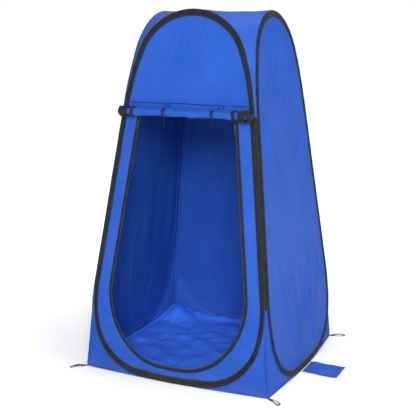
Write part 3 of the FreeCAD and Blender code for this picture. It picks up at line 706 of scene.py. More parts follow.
@dataclass(frozen=True)
class Metal:
    """A die-cast, rolled or drawn metal."""

    name: str
    colour: tuple[float, float, float]
    roughness: float
    metallic: float
    grain: float

    def build(self, groups: Groups) -> bpy.types.Material:
        """Lays out the shader: noise breaks up the roughness and gives the casting its grain."""
        made = bpy.data.materials.new(self.name)
        made.use_nodes = True
        made.node_tree.nodes.clear()
        n = Nodes(made.node_tree)
        place = n.new("ShaderNodeTexCoord").outputs["Object"]
        rumple = n.new("ShaderNodeGroup", {"node_tree": groups.rumple}, Place=place, Broad=60.0, Fine=400.0)
        worn = tuple(min(1.0, c * 1.5 + 0.03) for c in self.colour)
        colour = n.mix(rumple.outputs["Lines"], (*self.colour, 1.0), (*worn, 1.0))
        rough = n.math("ADD", self.roughness - 0.08, n.math("MULTIPLY", rumple.outputs["Shade"], 0.16))
        bump = n.new("ShaderNodeBump", Strength=1.0, Distance=1.0, Height=n.math(
            "MULTIPLY", rumple.outputs["Height"], self.grain))
        shader = n.new("ShaderNodeBsdfPrincipled", Base_Color=colour, Roughness=rough, Normal=bump.outputs[0])
        shader.inputs["Metallic"].default_value = self.metallic
        n.new("ShaderNodeOutputMaterial", Surface=shader.outputs[0])
        return made


BLUE = (0.019, 0.074, 0.362)
# A darker copy of the blue, painted as shade in the fold hollows and the gaps of the weave.
PAINTED_SHADE_BLUE = (0.014, 0.067, 0.338)
BLACK = (0.013, 0.013, 0.0135)
# A darker copy of the black, painted as shade in the fold hollows and the gaps of the weave.
PAINTED_SHADE_BLACK = (0.007, 0.007, 0.0075)


class Finishes:
    """All the tent's finishes, built once."""

    def __init__(self) -> None:
        """Builds the shared groups, then each finish."""
        g = Groups()
        self.wall = Woven("Wall taffeta", BLUE, PAINTED_SHADE_BLUE, 0.0007, 0.00006, 5.0, 26.0, 0.0016,
                          Gloss.SATIN).build(g)
        self.roof = Woven("Roof taffeta", BLUE, PAINTED_SHADE_BLUE, 0.0007, 0.00006, 5.0, 20.0, 0.0010,
                          Gloss.SILKY).build(g)
        self.header = Woven("Header hem", BLUE, PAINTED_SHADE_BLUE, 0.0007, 0.00006, 9.0, 30.0, 0.0010, Gloss.SATIN,
                            edges=(0.0025, 0.0135)).build(g)
        self.flap = Woven("Flap taffeta", (0.026, 0.100, 0.45), BLUE, 0.0007, 0.00006, 9.0, 30.0, 0.0012,
                          Gloss.SATIN,
                          edges=(0.003, 0.021)).build(g)
        self.roll = Woven("Door taffeta", BLUE, PAINTED_SHADE_BLUE, 0.0007, 0.00006, 12.0, 34.0, 0.0034,
                          Gloss.SATIN).build(g)
        # The floor's blue is the walls' blue at about twice the brightness: painted light for the lit floor.
        self.floor = Woven("Floor sheeting", (0.034, 0.146, 0.720), (0.028, 0.128, 0.650), 0.0011, 0.00010,
                           5.0, 14.0,
                           0.0022, Gloss.WET, dust=0.03).build(g)
        self.sleeve = Woven("Hoop webbing", BLACK, PAINTED_SHADE_BLACK, 0.0012, 0.00022, 18.0, 60.0, 0.0006, Gloss.DULL,
                            edges=(0.0035, 0.0045), thread_colour=(0.05, 0.05, 0.05), sheen=0.03).build(g)
        self.tape = Woven("Zip tape", BLACK, PAINTED_SHADE_BLACK, 0.0009, 0.00016, 20.0, 70.0, 0.0004, Gloss.DULL,
                          edges=(0.003, 0.017), thread_colour=(0.04, 0.04, 0.04), sheen=0.03).build(g)
        self.webbing = Woven("Peg webbing", BLACK, PAINTED_SHADE_BLACK, 0.0016, 0.00030, 20.0, 80.0, 0.0006, Gloss.DULL,
                             thread_colour=(0.05, 0.05, 0.05), sheen=0.03).build(g)
        self.cord = Woven("Tie cord", BLACK, PAINTED_SHADE_BLACK, 0.0010, 0.0, 30.0, 300.0, 0.0004, Gloss.DULL).build(g)
        self.thread = Woven("Blue thread", (0.003, 0.018, 0.14), (0.002, 0.012, 0.10), 0.0010, 0.0001,
                            20.0, 90.0,
                            0.0003, Gloss.DULL).build(g)
        self.coil = Metal("Zip coil", (0.045, 0.043, 0.036), 0.42, 0.0, 0.0002).build(g)
        self.zinc = Metal("Black zinc", (0.07, 0.07, 0.07), 0.34, 0.9, 0.0003).build(g)
        self.steel = Metal("Spring steel", (0.42, 0.42, 0.43), 0.32, 1.0, 0.0002).build(g)
        self.crimp = Metal("Crimped steel", (0.50, 0.50, 0.51), 0.38, 1.0, 0.0003).build(g)


# ---------------------------------------------------------------- walls

class Side(Enum):
    """The four walls: (body, turn in degrees)."""

    FRONT = ("front", 0.0)
    RIGHT = ("right", 90.0)
    BACK = ("back", 180.0)
    LEFT = ("left", 270.0)


@dataclass
class Wall:
    """One wall: its panel, its hoop sleeve and the two gussets under its rounded corners."""

    side: Side
    seed: int
    cloth: float = 0.0008
    counts: tuple[int, int, int, int, int, int] = (30, 34, 70, 22, 26, 14)
    columns: int = 120
    sleeve_thick: float = 0.0140
    floor_corner: tuple[float, float] = (0.5245, 0.0030)
    slack: float = 1.0

    @property
    def body(self) -> str:
        """The body that the wall rides."""
        return self.side.value[0]

    @property
    def plane(self) -> WallFrame:
        """The wall's own plane."""
        return WallFrame(self.side.value[1])

    def creases(self, u: np.ndarray, v: np.ndarray) -> np.ndarray:
        """How far the cloth stands out: creases pulled from the hoop's top and foot, and a slack belly.

        Args:
            u, v: places in the wall's plane.

        Returns:
            Distances along n, zero at the sleeve.
        """
        inner = INNER.reach(np.maximum(v, 0.478))
        low = smooth((v - 0.036) / 0.14)
        hold = smooth((inner - np.abs(u)) / 0.05) * low * smooth((1.887 - v) / 0.05)
        fans = (
            ((0.0, 1.97), (-122, -58), (0.09, 0.22), (0.38, 0.75), 17, 0.0085, 0.0026),
            ((-0.36, 1.52), (-84, -58), (0.02, 0.14), (0.35, 0.75), 7, 0.009, 0.0022),
            ((0.36, 1.52), (-122, -96), (0.02, 0.14), (0.35, 0.75), 7, 0.009, 0.0022),
            ((0.0, -0.35), (68, 112), (0.42, 0.52), (0.70, 1.15), 20, 0.0095, 0.0028),
            ((-0.45, 0.30), (25, 80), (0.03, 0.12), (0.25, 0.60), 8, 0.009, 0.0020),
            ((0.45, 0.30), (100, 155), (0.03, 0.12), (0.25, 0.60), 8, 0.009, 0.0020),
        )
        rise = self.slack * sum(Creases.fan(self.seed + i, *fan).height(u, v) for i, fan in enumerate(fans))
        rise = rise + 0.0020 * waves(u * 1.6, v * 0.6, self.seed + 9, 0.34)
        return hold * (rise + 0.0003 * waves(u, v, self.seed + 10, 0.08))

    def rim(self, inner: np.ndarray) -> tuple[np.ndarray, np.ndarray]:
        """The band of cloth behind the sleeve, from the panel's edge out to the sleeve's inner face.

        Args:
            inner: the closed loop of the panel's edge.

        Returns:
            The grid of points and its uv lengths.
        """
        out, height = normals_of(inner, True), inner[:, 1]
        wide = 0.0240 + 0.0118 * smooth((height - 1.40) / 0.45) + 0.0108 * smooth((0.40 - height) / 0.36)
        s = np.array([0.0, 0.06, 0.12, 0.35, 0.7, 1.0])
        path = inner[:, None] + out[:, None] * (wide[:, None] * s)[..., None]
        depth = RIM_DEPTH * smooth(s / 0.12) + 0.0006 * waves(path[..., 0], path[..., 1], self.seed, 0.02) * (
            smooth(s / 0.3) * (1 - s))
        return self.plane.place(path[..., 0], path[..., 1], depth), path

    def panel_grids(self, cloth: Grids) -> np.ndarray:
        """Rows straight across the wall from the hoop's top to its foot, each as wide as the hoop is there.

        Args:
            cloth: where the grid goes.

        Returns:
            The closed loop of the panel's edge.
        """
        half = INNER.half(self.counts)
        share = np.sin(np.linspace(-1, 1, self.columns) * math.pi / 2 * 0.72) / math.sin(math.pi / 2 * 0.72)
        u, v = half[:, :1] * share, np.repeat(half[:, 1:], self.columns, 1)
        cloth.add(self.plane.place(u, v, self.creases(u, v)), np.stack([u, v], -1), flip=True)
        return loop_of(half)

    def panel(self, finishes: Finishes) -> bpy.types.Object:
        """The panel with its band behind the sleeve, as one sheet."""
        cloth = Grids(f"{self.body}_panel_cloth")
        edge = self.panel_grids(cloth)
        points, uv = self.rim(edge)
        cloth.add(np.concatenate([points, points[:1]]), np.concatenate([uv, uv[:1]]))
        made = cloth.build(facing=self.plane.outwards())
        thicken(made, self.cloth)
        dress(made, finishes.wall, "wall_fabric", self.body, f"{self.body}_panel")
        self.flat_area()
        return made

    def flat_area(self) -> float:
        """The panel's flat area inside the sleeve's outer edge."""
        return enclosed(loop_of(OUTER.half(self.counts)))

    def sleeve(self, finishes: Finishes) -> bpy.types.Object:
        """The webbing sleeve round the spring: its section spans from the inner to the outer outline.

        The section bulges over the wire in its middle and flattens to a sewn lip at each edge; along the hoop
        the lips pucker.
        """
        dense = (34, 60, 90, 40, 44, 26)
        inner, outer = loop_of(INNER.half(dense)), loop_of(OUTER.half(dense))
        inner, outer = np.concatenate([inner, inner[:1]]), np.concatenate([outer, outer[:1]])
        run = travel((inner + outer) / 2)
        turn = np.linspace(0, math.tau, 29)[:-1]
        s = 0.5 - 0.5 * np.sign(np.cos(turn)) * np.abs(np.cos(turn)) ** 0.72
        bulge = 0.30 + 0.70 * np.exp(-(((s - 0.52) / 0.30) ** 4))
        depth = np.where(np.sin(turn) > 0, self.sleeve_thick / 2, 0.0024)
        high = depth * np.sign(np.sin(turn)) * np.abs(np.sin(turn)) ** 0.55
        high = high * np.where(np.sin(turn) > 0, bulge, 1.0)
        lips = np.abs(2 * s - 1)[None, :] ** 2
        ease = smooth(run / 0.05) * smooth((run[-1] - run) / 0.05)
        pucker = 0.0008 * waves(run[:, None], s[None, :] * 0.01, self.seed + 40, 0.022) * lips * ease[:, None]
        path = inner[:, None] + (outer - inner)[:, None] * s[None, :, None]
        swell = 0.05 * waves(run[:, None], high[None, :], self.seed + 41, 0.09) * ease[:, None]
        n = high[None, :] * (1 + swell)
        points = self.plane.place(path[..., 0], path[..., 1], n + pucker)
        wide = np.linalg.norm(outer - inner, axis=1)
        uv = pair(run[:, None], wide[:, None] * s[None, :])
        made = Grids(f"{self.body}_hoop_sleeve_webbing").add(points, uv, wrap=True).build(outward=True)
        return dress(made, finishes.sleeve, "sleeve_webbing", self.body, f"{self.body}_hoop_sleeve")

    def gusset(self, finishes: Finishes, right: bool) -> bpy.types.Object:
        """The triangle of cloth under a rounded corner of the hoop, drawn down to the floor's corner.

        point = arc + (corner - arc) * t, pressed in a little at its middle, with creases drawn to the corner.

        Args:
            finishes: the tent's finishes.
            right: the corner at +u, or else the one at -u.

        Returns:
            The piece.
        """
        half = OUTER.half((20, 20, 20, 40, 50, 60))
        arc = half[60:]
        arc = arc[(arc[:, 1] < 0.4815) & (arc[:, 0] > 0.120)]
        arc = arc - normals_of(arc, False) * 0.003
        t = np.linspace(0, 1, 46)
        end = np.array(self.floor_corner)
        path = arc[:, None] + (end - arc)[:, None] * t[None, :, None]
        span = np.linspace(0, 1, len(arc))[:, None]
        held = ridge(span) * ridge(t)[None, :]
        pull = (np.sin(span * 41 + 2.3 * np.sin(span * 9 + self.seed)) * 0.0018
                + 0.0012 * np.sin(span * 23 + self.seed))
        sag = -0.012 * ridge(span) ** 1.2 * (t * (1 - t) * 4)[None, :]
        depth = RIM_DEPTH - 0.0006 - (FOOT - 0.528 + RIM_DEPTH) * t[None, :] ** 1.1
        u, v = path[..., 0], path[..., 1] - 0.006 * smooth((span - 0.8) / 0.2) * (1 - t[None, :])
        points = self.plane.place(u if right else -u, v, depth + sag + pull * held)
        uv = np.stack([u if right else -u, v], -1)
        letter = "b" if right else "a"
        made = Grids(f"{self.body}_gusset_{letter}_cloth").add(points, uv).build(facing=self.plane.outwards())
        thicken(made, self.cloth)
        dress(made, finishes.wall, "wall_fabric", self.body, f"{self.body}_gusset_{letter}")
        return made

    def build(self, finishes: Finishes) -> None:
        """Makes the sleeve, the panel and both gussets, and finishes the wire and its ferrule."""
        self.sleeve(finishes)
        self.panel(finishes)
        self.gusset(finishes, True)
        self.gusset(finishes, False)
        paint(f"{self.body}_hoop_wire", finishes.steel)
        paint(f"{self.body}_hoop_ferrule", finishes.crimp)


def paint(node: str, finish: bpy.types.Material) -> None:
    """Gives a CAD node's every slot that finish."""
    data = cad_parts[node].data
    if not data.materials:
        data.materials.append(finish)
    for index in range(len(data.materials)):
        data.materials[index] = finish


@dataclass
class FrontWall(Wall):
    """The front wall, whose panel has the doorway cut out below the header."""

    border_counts: tuple[int, int, int, int, int, int] = (1, 1, 110, 44, 54, 64)
    puckers: int = 46

    def creases(self, u: np.ndarray, v: np.ndarray) -> np.ndarray:
        """A nearly flat top, and puckers across the border round the doorway."""
        inner = INNER.reach(np.maximum(v, 0.478))
        hold = smooth((inner - np.abs(u)) / 0.05) * smooth((1.887 - v) / 0.05)
        top = Creases.fan(self.seed, (0.0, 2.02), (-112, -68), (0.14, 0.20), (0.30, 0.52), 9, 0.012, 0.0012)
        return hold * (top.height(u, v) + 0.0022 * waves(u, v, self.seed + 9, 0.33))

    def panel_grids(self, cloth: Grids) -> np.ndarray:
        """Rows across above the header; below it a border whose rows run from the doorway to the hoop.

        Args:
            cloth: where the grids go.

        Returns:
            The closed loop of the panel's edge.
        """
        start = HEADER_LOW
        flank = sum(self.border_counts[:3])
        door_low, hoop_low = DOOR.half(self.border_counts)[flank:], INNER.half(self.border_counts)[flank:]
        level = np.linspace(0, 1, 150)[:-1, None]
        door_up = np.concatenate([DOOR.side - (start + (DOOR.flank_start - start) * level) * math.tan(TAPER),
                                  start + (DOOR.flank_start - start) * level], 1)
        tall = start + (INNER.flank_start - start) * level
        hoop_up = np.concatenate([INNER.reach(tall), tall], 1)
        door, hoop = np.concatenate([door_up, door_low]), np.concatenate([hoop_up, hoop_low])
        s = smooth(np.linspace(0, 1, 17)) * 0.4 + np.linspace(0, 1, 17) * 0.6
        path = door[:, None] + (hoop - door)[:, None] * s[None, :, None]
        run = travel(door)[:, None]
        gap = np.linalg.norm(path[:, :, None] - door[None, None, ::2], axis=-1).min(-1)
        wide = np.linalg.norm(hoop - door, axis=1)[:, None]
        reach = smooth((gap - 0.0205) / 0.012) * smooth((1 - s[None, :]) * wide / 0.010)
        rng = np.random.default_rng(self.seed + 5)
        where = np.sort(rng.uniform(0.05, run[-1, 0], self.puckers))
        heights = rng.uniform(0.3, 1.0, self.puckers) * (0.0012 + 0.0028 * smooth((where - 0.75) / 0.3))
        for mirror in (1.0, -1.0):
            broads = rng.uniform(0.004, 0.010, self.puckers)
            slants = rng.uniform(-1, 1, self.puckers)
            pucker = sum(h * np.exp(-(((run + 0.05 * (s[None, :] - 0.5) * slant - w) / broad) ** 2))
                         for w, h, broad, slant in zip(where, heights, broads, slants))
            u, v = path[..., 0] * mirror, path[..., 1]
            n = pucker * reach * smooth(run / 0.05)
            slack = 0.0016 * waves(u, v, self.seed + 6, 0.2) * reach * smooth(run / 0.05)
            slack = slack * smooth((run[-1, 0] - run) / 0.05)
            n = n * smooth((run[-1, 0] - run) / 0.02)
            cloth.add(self.plane.place(u, v, n + slack), np.stack([u, v], -1), flip=mirror < 0)
        low = path[0, :, 0]
        rows = start + (INNER.top - start) * (1 - (1 - np.linspace(0, 1, 90)) ** 2)[:, None]
        columns = np.concatenate([-low[:0:-1], np.linspace(-low[0], low[0], 90), low[1:]])[None, :] / low[-1]
        rows[-1] = INNER.top
        width = INNER.reach(rows)
        width[-1] = 0.0
        u, v = width * columns, rows + 0.0 * columns
        fade = smooth((v - start) / 0.05)
        cloth.add(self.plane.place(u, v, self.creases(u, v) * fade), np.stack([u, v], -1))
        upper = np.stack([u[:0:-1, -1], v[:0:-1, -1]], 1)
        return loop_of(np.concatenate([upper, hoop]))

    def flat_area(self) -> float:
        """The hoop's area less the doorway's."""
        door = DOOR.half(self.border_counts)
        door = door[door[:, 1] < HEADER_LOW]
        door = np.concatenate([[[DOOR.side - HEADER_LOW * math.tan(TAPER), HEADER_LOW]], door])
        return super().flat_area() - enclosed(loop_of(door))


@dataclass
class CornerStrip:
    """The narrow strip of cloth that joins two neighbouring walls up a corner."""

    first: Side
    second: Side
    low: float = 0.478
    high: float = 1.424
    black_face_low: float = 0.44
    black_face_high: float = 1.38
    hinged: bool = True

    def build(self, finishes: Finishes) -> bpy.types.Object:
        """A gutter between the two walls' edges: point = edge a + (edge b - edge a) * t + bow * sin(pi t).

        Args:
            finishes: the tent's finishes.

        Returns:
            The piece.
        """
        v = np.linspace(self.low, self.high + 0.03, 130)
        u = OUTER.reach(v) - 0.002
        n = np.full_like(v, RIM_DEPTH + 0.0002)
        low = np.linspace(1, 0, 60)[:-1]
        end = Wall(self.first, 0).floor_corner
        v = np.concatenate([v[0] + (end[1] - v[0]) * low, v])
        u = np.concatenate([u[0] + (end[0] - u[0]) * low, u])
        n = np.concatenate([RIM_DEPTH - 0.0004 - (FOOT - 0.528 + RIM_DEPTH) * low**1.1, n])
        a = WallFrame(self.first.value[1]).place(u, v, n)
        b = WallFrame(self.second.value[1]).place(-u, v, n)
        t = np.linspace(0, 1, 9)
        out = (a + b) / 2 * np.array([1.0, 1.0, 0.0])
        out /= np.linalg.norm(out, axis=1, keepdims=True)
        gap = np.linalg.norm(b - a, axis=1)[:, None]
        bow = 0.45 * gap * ridge(t)[None, :] ** 0.8
        points = a[:, None] + (b - a)[:, None] * t[None, :, None] + out[:, None] * bow[..., None]
        wave = 0.0006 * waves(v, v * 0, 5, 0.05)
        points = points + out[:, None] * wave[:, None, None] * ridge(t)[None, :, None]
        uv = pair(v[:, None], t[None, :] * 0.02)
        name = f"corner_strip_{self.first.value[0]}_{self.second.value[0]}"
        node = {"front": "corner_seam_front_right", "right": "corner_seam_back_right",
                "left": "corner_seam_front_left", "back": "corner_seam_back_left"}[self.first.value[0]]
        made = Grids(name).add(points, uv).build(merge=0)
        thicken(made, 0.0008)
        dress(made, finishes.wall, "wall_fabric", None if self.hinged else self.first.value[0], node)
        self.face(made, finishes.sleeve)
        if self.hinged:
            mid = len(v) // 2
            tuple(a[mid])
            tuple(b[mid])
            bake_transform(made)
        return made


    def face(self, made: bpy.types.Object, webbing: bpy.types.Material) -> None:
        """Gives the strip's outside faces the sleeves' black finish, from above the gussets to below the
        roof.

        Args:
            made: the strip.
            webbing: the sleeves' finish.
        """
        made.data.materials.append(webbing)
        made.modifiers["Cloth"].material_offset = -1
        faces = made.data.polygons
        middle, normal = np.zeros(len(faces) * 3), np.zeros(len(faces) * 3)
        faces.foreach_get("center", middle)
        faces.foreach_get("normal", normal)
        middle, normal = middle.reshape(-1, 3), normal.reshape(-1, 3)
        outside = (middle[:, :2] * normal[:, :2]).sum(1) > 0
        black_faces = outside & (middle[:, 2] > self.black_face_low) & (middle[:, 2] < self.black_face_high)
        faces.foreach_set("material_index", black_faces.astype(np.int32))


@dataclass
class Roof:
    """The roof: one sheet over the four hoop tops, that falls into a valley between each two hoops."""

    sag: float = 0.010
    rows: int = 84
    columns: int = 56

    def quarter(self, side: Side) -> np.ndarray:
        """One quarter, from the middle of the roof down the valley at the wall's right.

        The first third of the rows runs level from the middle to the line between two hoop tops. The rest
        runs down between the two neighbouring hoops: point = a(s) + (b(s) - a(s)) * t, pressed inwards by
        sag * sin(pi t).

        Args:
            side: the wall at the quarter's left.

        Returns:
            The grid.
        """
        half = OUTER.half((60, 60, 90, 4, 4, 4))
        half = half[half[:, 1] > 1.412]
        lengths = travel(half)
        at = np.linspace(0, lengths[-1], self.rows)
        u, v = np.interp(at, lengths, half[:, 0]), np.interp(at, lengths, half[:, 1])
        a = WallFrame(side.value[1]).place(u, v, np.full_like(u, -0.004))
        b = WallFrame(side.value[1] + 90).place(-u, v, np.full_like(u, -0.004))
        t = np.linspace(0, 1, self.columns)
        web = a[:, None] + (b - a)[:, None] * t[None, :, None]
        inward = -(a + b) / 2 * np.array([1.0, 1.0, 0.0])
        inward /= np.linalg.norm(inward, axis=1, keepdims=True)
        gap = np.linalg.norm(b - a, axis=1)[:, None]
        share = (at / lengths[-1])[:, None]
        across = ridge(t)[None, :]
        press = 0.050 * gap * across * smooth(share / 0.35) * (1 - smooth((share - 0.75) / 0.25))
        fold = 0.003 * gap * across * waves(share * 0.9, t[None, :] * 0.5, 17, 0.35)
        web = web + inward[:, None] * (press + fold * smooth(share / 0.2))[..., None]
        web[..., 2] -= self.sag * across * (1 - smooth(share / 0.5))
        middle = np.array([0.0, 0.0, web[0, :, 2].min() - 0.004])
        r = np.linspace(0, 1, 30)[:-1, None, None]
        flat = middle + (web[:1] - middle) * r
        points = np.concatenate([flat, web])
        x, y = points[..., 0], points[..., 1]
        fade = smooth(1.0 - np.abs(np.linspace(0, 2, len(points)) - 0.6))
        points[..., 2] += 0.0012 * waves(x, y, 23, 0.12) * fade[:, None]
        return points

    def build(self, finishes: Finishes) -> bpy.types.Object:
        """Joins the four quarters into one sheet that rides the front wall's body."""
        cloth = Grids("roof_cloth")
        for side in Side:
            points = self.quarter(side)
            cloth.add(points, points[..., :2])
        made = cloth.build(merge=1e-4, facing=(0, 0, 1))
        thicken(made, 0.0008)
        dress(made, finishes.roof, "roof_fabric", "front", "roof")
        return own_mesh(made)


@dataclass
class Floor:
    """The sewn-in floor of coated sheeting, crumpled, with a bunched corner at the back left."""

    steps: int = 176
    half: float = 0.5484
    corner: float = 0.526

    def build(self, finishes: Finishes) -> bpy.types.Object:
        """A square grid whose sides bow out to the walls: x = a X(b), y = b X(a), z from crumpled folds."""
        a, b = np.meshgrid(np.linspace(-1, 1, self.steps), np.linspace(-1, 1, self.steps))

        def width(w: np.ndarray) -> np.ndarray:
            """Half the floor's width: full at mid side, narrower towards the corners."""
            return self.half - 0.002 - (self.half - self.corner) * smooth((np.abs(w) - 0.33) / 0.62)

        x, y = a * width(b), b * width(a)
        edge = np.minimum(1 - np.abs(a), 1 - np.abs(b))
        inside = smooth(edge / 0.10)
        broad = 0.0040 * np.abs(waves(x, y, 71, 0.34))
        folds = 0.0038 * (crumple(x, y, 72, 0.17) + 1.2) + 0.0010 * (crumple(x, y, 73, 0.075) + 1.0)
        peak = np.exp(-(((x + 0.47) / 0.13) ** 2 + ((y - 0.47) / 0.12) ** 2))
        run = np.exp(-(((x + 0.10) / 0.30) ** 2 + ((y - 0.515) / 0.035) ** 2)) * 0.020
        rough = 1 + 0.12 * crumple(x, y, 74, 0.11)
        z = 0.0022 + inside * (broad + folds)
        z = z + 0.066 * peak * rough * smooth(edge / 0.02 + 0.75) + run * smooth(
            edge / 0.03) * rough
        z = np.maximum(z, 0.0016) + 0.0085 * (1 - smooth(edge / 0.014))
        points = np.stack([x, y, z], -1)
        made = Grids("floor_sheet_cloth").add(points, np.stack([x, y], -1)).build(merge=0)
        thicken(made, 0.0010)
        dress(made, finishes.floor, "floor_sheet", "front", "floor")
        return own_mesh(made)


# ---------------------------------------------------------------- doorway

@dataclass
class Doorway:
    """The zip tape and coil round the doorway's edge, and the sewn header over it."""

    tape_wide: float = 0.020
    pitch: float = 0.0030

    def edge(self, offset: float, counts: tuple[int, int, int] = (120, 60, 40)) -> np.ndarray:
        """The doorway's edge from the header down the right, round and up the left, moved out by offset."""
        half = DOOR.half((1, 1, 4, *counts))[6:]
        level = np.linspace(0, 1, 90)[:-1, None]
        tall = HEADER_LOW + (DOOR.flank_start - HEADER_LOW) * level
        side = np.concatenate([DOOR.side - tall * math.tan(TAPER), tall], 1)
        half = np.concatenate([side, half])
        path = np.concatenate([half, half[-2::-1] * np.array([-1.0, 1.0])])
        return path + normals_of(path, False) * offset

    def tape(self, finishes: Finishes) -> bpy.types.Object:
        """A flat woven tape, its section a rounded strap, its outer edge puckered."""
        path = self.edge(self.tape_wide / 2 - 0.001)
        run = travel(path)
        section = rounded(self.tape_wide, 0.0012, 18, 0.35)
        way = normals_of(path, False)
        flat = path[:, None] + way[:, None] * section[None, :, :1]
        n = 0.0023 + section[None, :, 1] + 0.0004 * waves(run[:, None], section[None, :, 0], 51, 0.03) * (
            np.clip(section[None, :, 0] / self.tape_wide + 0.5, 0, 1))
        uv = pair(run[:, None], section[None, :, 0] + self.tape_wide / 2)
        points = WallFrame(0).place(flat[..., 0], flat[..., 1], n)
        made = Grids("door_zip_tape_web").add(points, uv, wrap=True,
                                              caps=True).build(outward=True)
        return dress(made, finishes.tape, "sleeve_webbing", "front", "door_zip_tape")

    def coil(self, finishes: Finishes) -> bpy.types.Object:
        """The nylon coil: a small bent loop for each tooth, repeated along the tape."""
        path = self.edge(0.0025)
        run = travel(path)
        at = np.arange(0.004, run[-1] - 0.004, self.pitch)
        u, v = np.interp(at, run, path[:, 0]), np.interp(at, run, path[:, 1])
        way = normals_of(np.stack([u, v], 1), False)
        ahead = np.stack([way[:, 1], -way[:, 0]], 1)
        bend = np.linspace(0, math.pi, 5)
        spine = np.stack([np.cos(bend) * 0.0021, 0.0006 + np.sin(bend) * 0.0010, bend / math.pi * 0.0012], 1)
        ring = np.arange(4) / 4 * math.tau
        around = np.stack([np.cos(ring) * 0.00062, np.sin(ring) * 0.00062], 1)
        outwards = np.stack([np.cos(bend), np.sin(bend)], 1)
        cell = np.zeros((5, 4, 3))
        cell[..., 0] = spine[:, None, 0] + outwards[:, None, 0] * around[None, :, 0]
        cell[..., 1] = spine[:, None, 1] + outwards[:, None, 1] * around[None, :, 0]
        cell[..., 2] = spine[:, None, 2] + around[None, :, 1]
        flat = (np.stack([u, v], 1)[:, None, None] + way[:, None, None] * cell[None, ..., :1]
                + ahead[:, None, None] * cell[None, ..., 2:])
        n = np.broadcast_to(0.0022 + cell[None, ..., 1], flat.shape[:-1])
        points = WallFrame(0).place(flat[..., 0], flat[..., 1], n)
        teeth = Grids("door_zip_coil_teeth")
        rows, cols = 5, 4
        count = len(at)
        base = np.arange(count)[:, None, None] * rows * cols
        r, c = np.arange(rows - 1)[:, None], np.arange(cols)[None, :]
        quad = np.stack([r * cols + c, r * cols + (c + 1) % cols, (r + 1) * cols + (c + 1) % cols,
                         (r + 1) * cols + c], -1).reshape(1, -1, 4)
        ends = np.array([[[3, 2, 1, 0], [16, 17, 18, 19]]])
        teeth.faces = [(base + quad).reshape(-1, 4), (base + ends).reshape(-1, 4)]
        teeth.points, teeth.count = [points.reshape(-1, 3)], points.size // 3
        teeth.uvs = [points.reshape(-1, 3)[:, [0, 2]]]
        made = teeth.build(merge=0, outward=True)
        return dress(made, finishes.coil, "zip_coil", "front", "door_zip_coil")

    def header(self, finishes: Finishes) -> bpy.types.Object:
        """The sewn hem above the doorway: a folded strip whose front bulges between its two stitch rows."""
        v = np.linspace(HEADER_LOW - 0.001, HEADER_TOP, 14)
        a = np.linspace(-1, 1, 150)
        half = INNER.reach(np.full(1, HEADER_TOP))[0] - 0.001
        u = a * half
        across = (v - v[0]) / (v[-1] - v[0])
        face = (0.0013 + 0.0011 * ridge(across)[None, :]
                + 0.0004 * waves(u[:, None], v[None, :], 61, 0.03))
        grid_u, grid_v = np.broadcast_arrays(u[:, None], v[None, :])
        front = WallFrame(0).place(grid_u, grid_v, face)
        back = WallFrame(0).place(grid_u, grid_v, np.full_like(face, 0.0005))
        grid = np.concatenate([front, back[:, ::-1]], 1)
        uv_front = np.stack([grid_u, grid_v - v[0]], -1)
        uv = np.concatenate([uv_front, uv_front[:, ::-1]], 1)
        made = Grids("door_header_hem").add(grid, uv, wrap=True, caps=True).build(outward=True)
        return dress(made, finishes.header, "wall_fabric", "front", "door_header")

    def seam(self, finishes: Finishes) -> bpy.types.Object:
        """The raised seam over the header, and two short dark blue bars at each tie from the hem up to the
        seam.
        """
        seam = Grids("door_header_seam")
        section = rounded(0.0040, 0.0018, 8, 0.8)
        u = np.linspace(-0.325, 0.325, 90)
        v = 1.4440 + 0.0008 * waves(u, u * 0, 63, 0.2)
        rise = np.full_like(u, 0.0012)
        flat = WallFrame(0).place(u[:, None], v[:, None] + section[None, :, 0],
                                  rise[:, None] + section[None, :, 1])
        uv = pair(u[:, None], section[None, :, 0])
        seam.add(flat, uv, wrap=True, caps=True)
        made = seam.build(outward=True)
        dress(made, finishes.thread, "seam_thread", "front")
        # Two short dark blue bars near each tie, from the hem up to the seam.
        marks = Grids("tie_dark_bars")
        for middle in (-0.118, -0.098, 0.178, 0.200):
            along = np.linspace(1.4150, 1.4440, 12)
            bar = WallFrame(0).place(middle + section[None, :, 0] * 1.3,
                                     along[:, None] + 0 * section[None, :, 0],
                                     0.0032 + section[None, :, 1])
            marks.add(bar, pair(along[:, None], section[None, :, 0]), wrap=True,
                      caps=True)
        made = marks.build(outward=True)
        return dress(made, finishes.thread, "seam_thread", "front")

    def build(self, finishes: Finishes) -> None:
        """Makes the tape, the coil and the header, and finishes the sliders and their pulls."""
        self.tape(finishes)
        self.coil(finishes)
        self.header(finishes)
        self.seam(finishes)
        for node in ("zip_slider_left", "zip_slider_right", "zip_pull_left", "zip_pull_right"):
            paint(node, finishes.zinc)


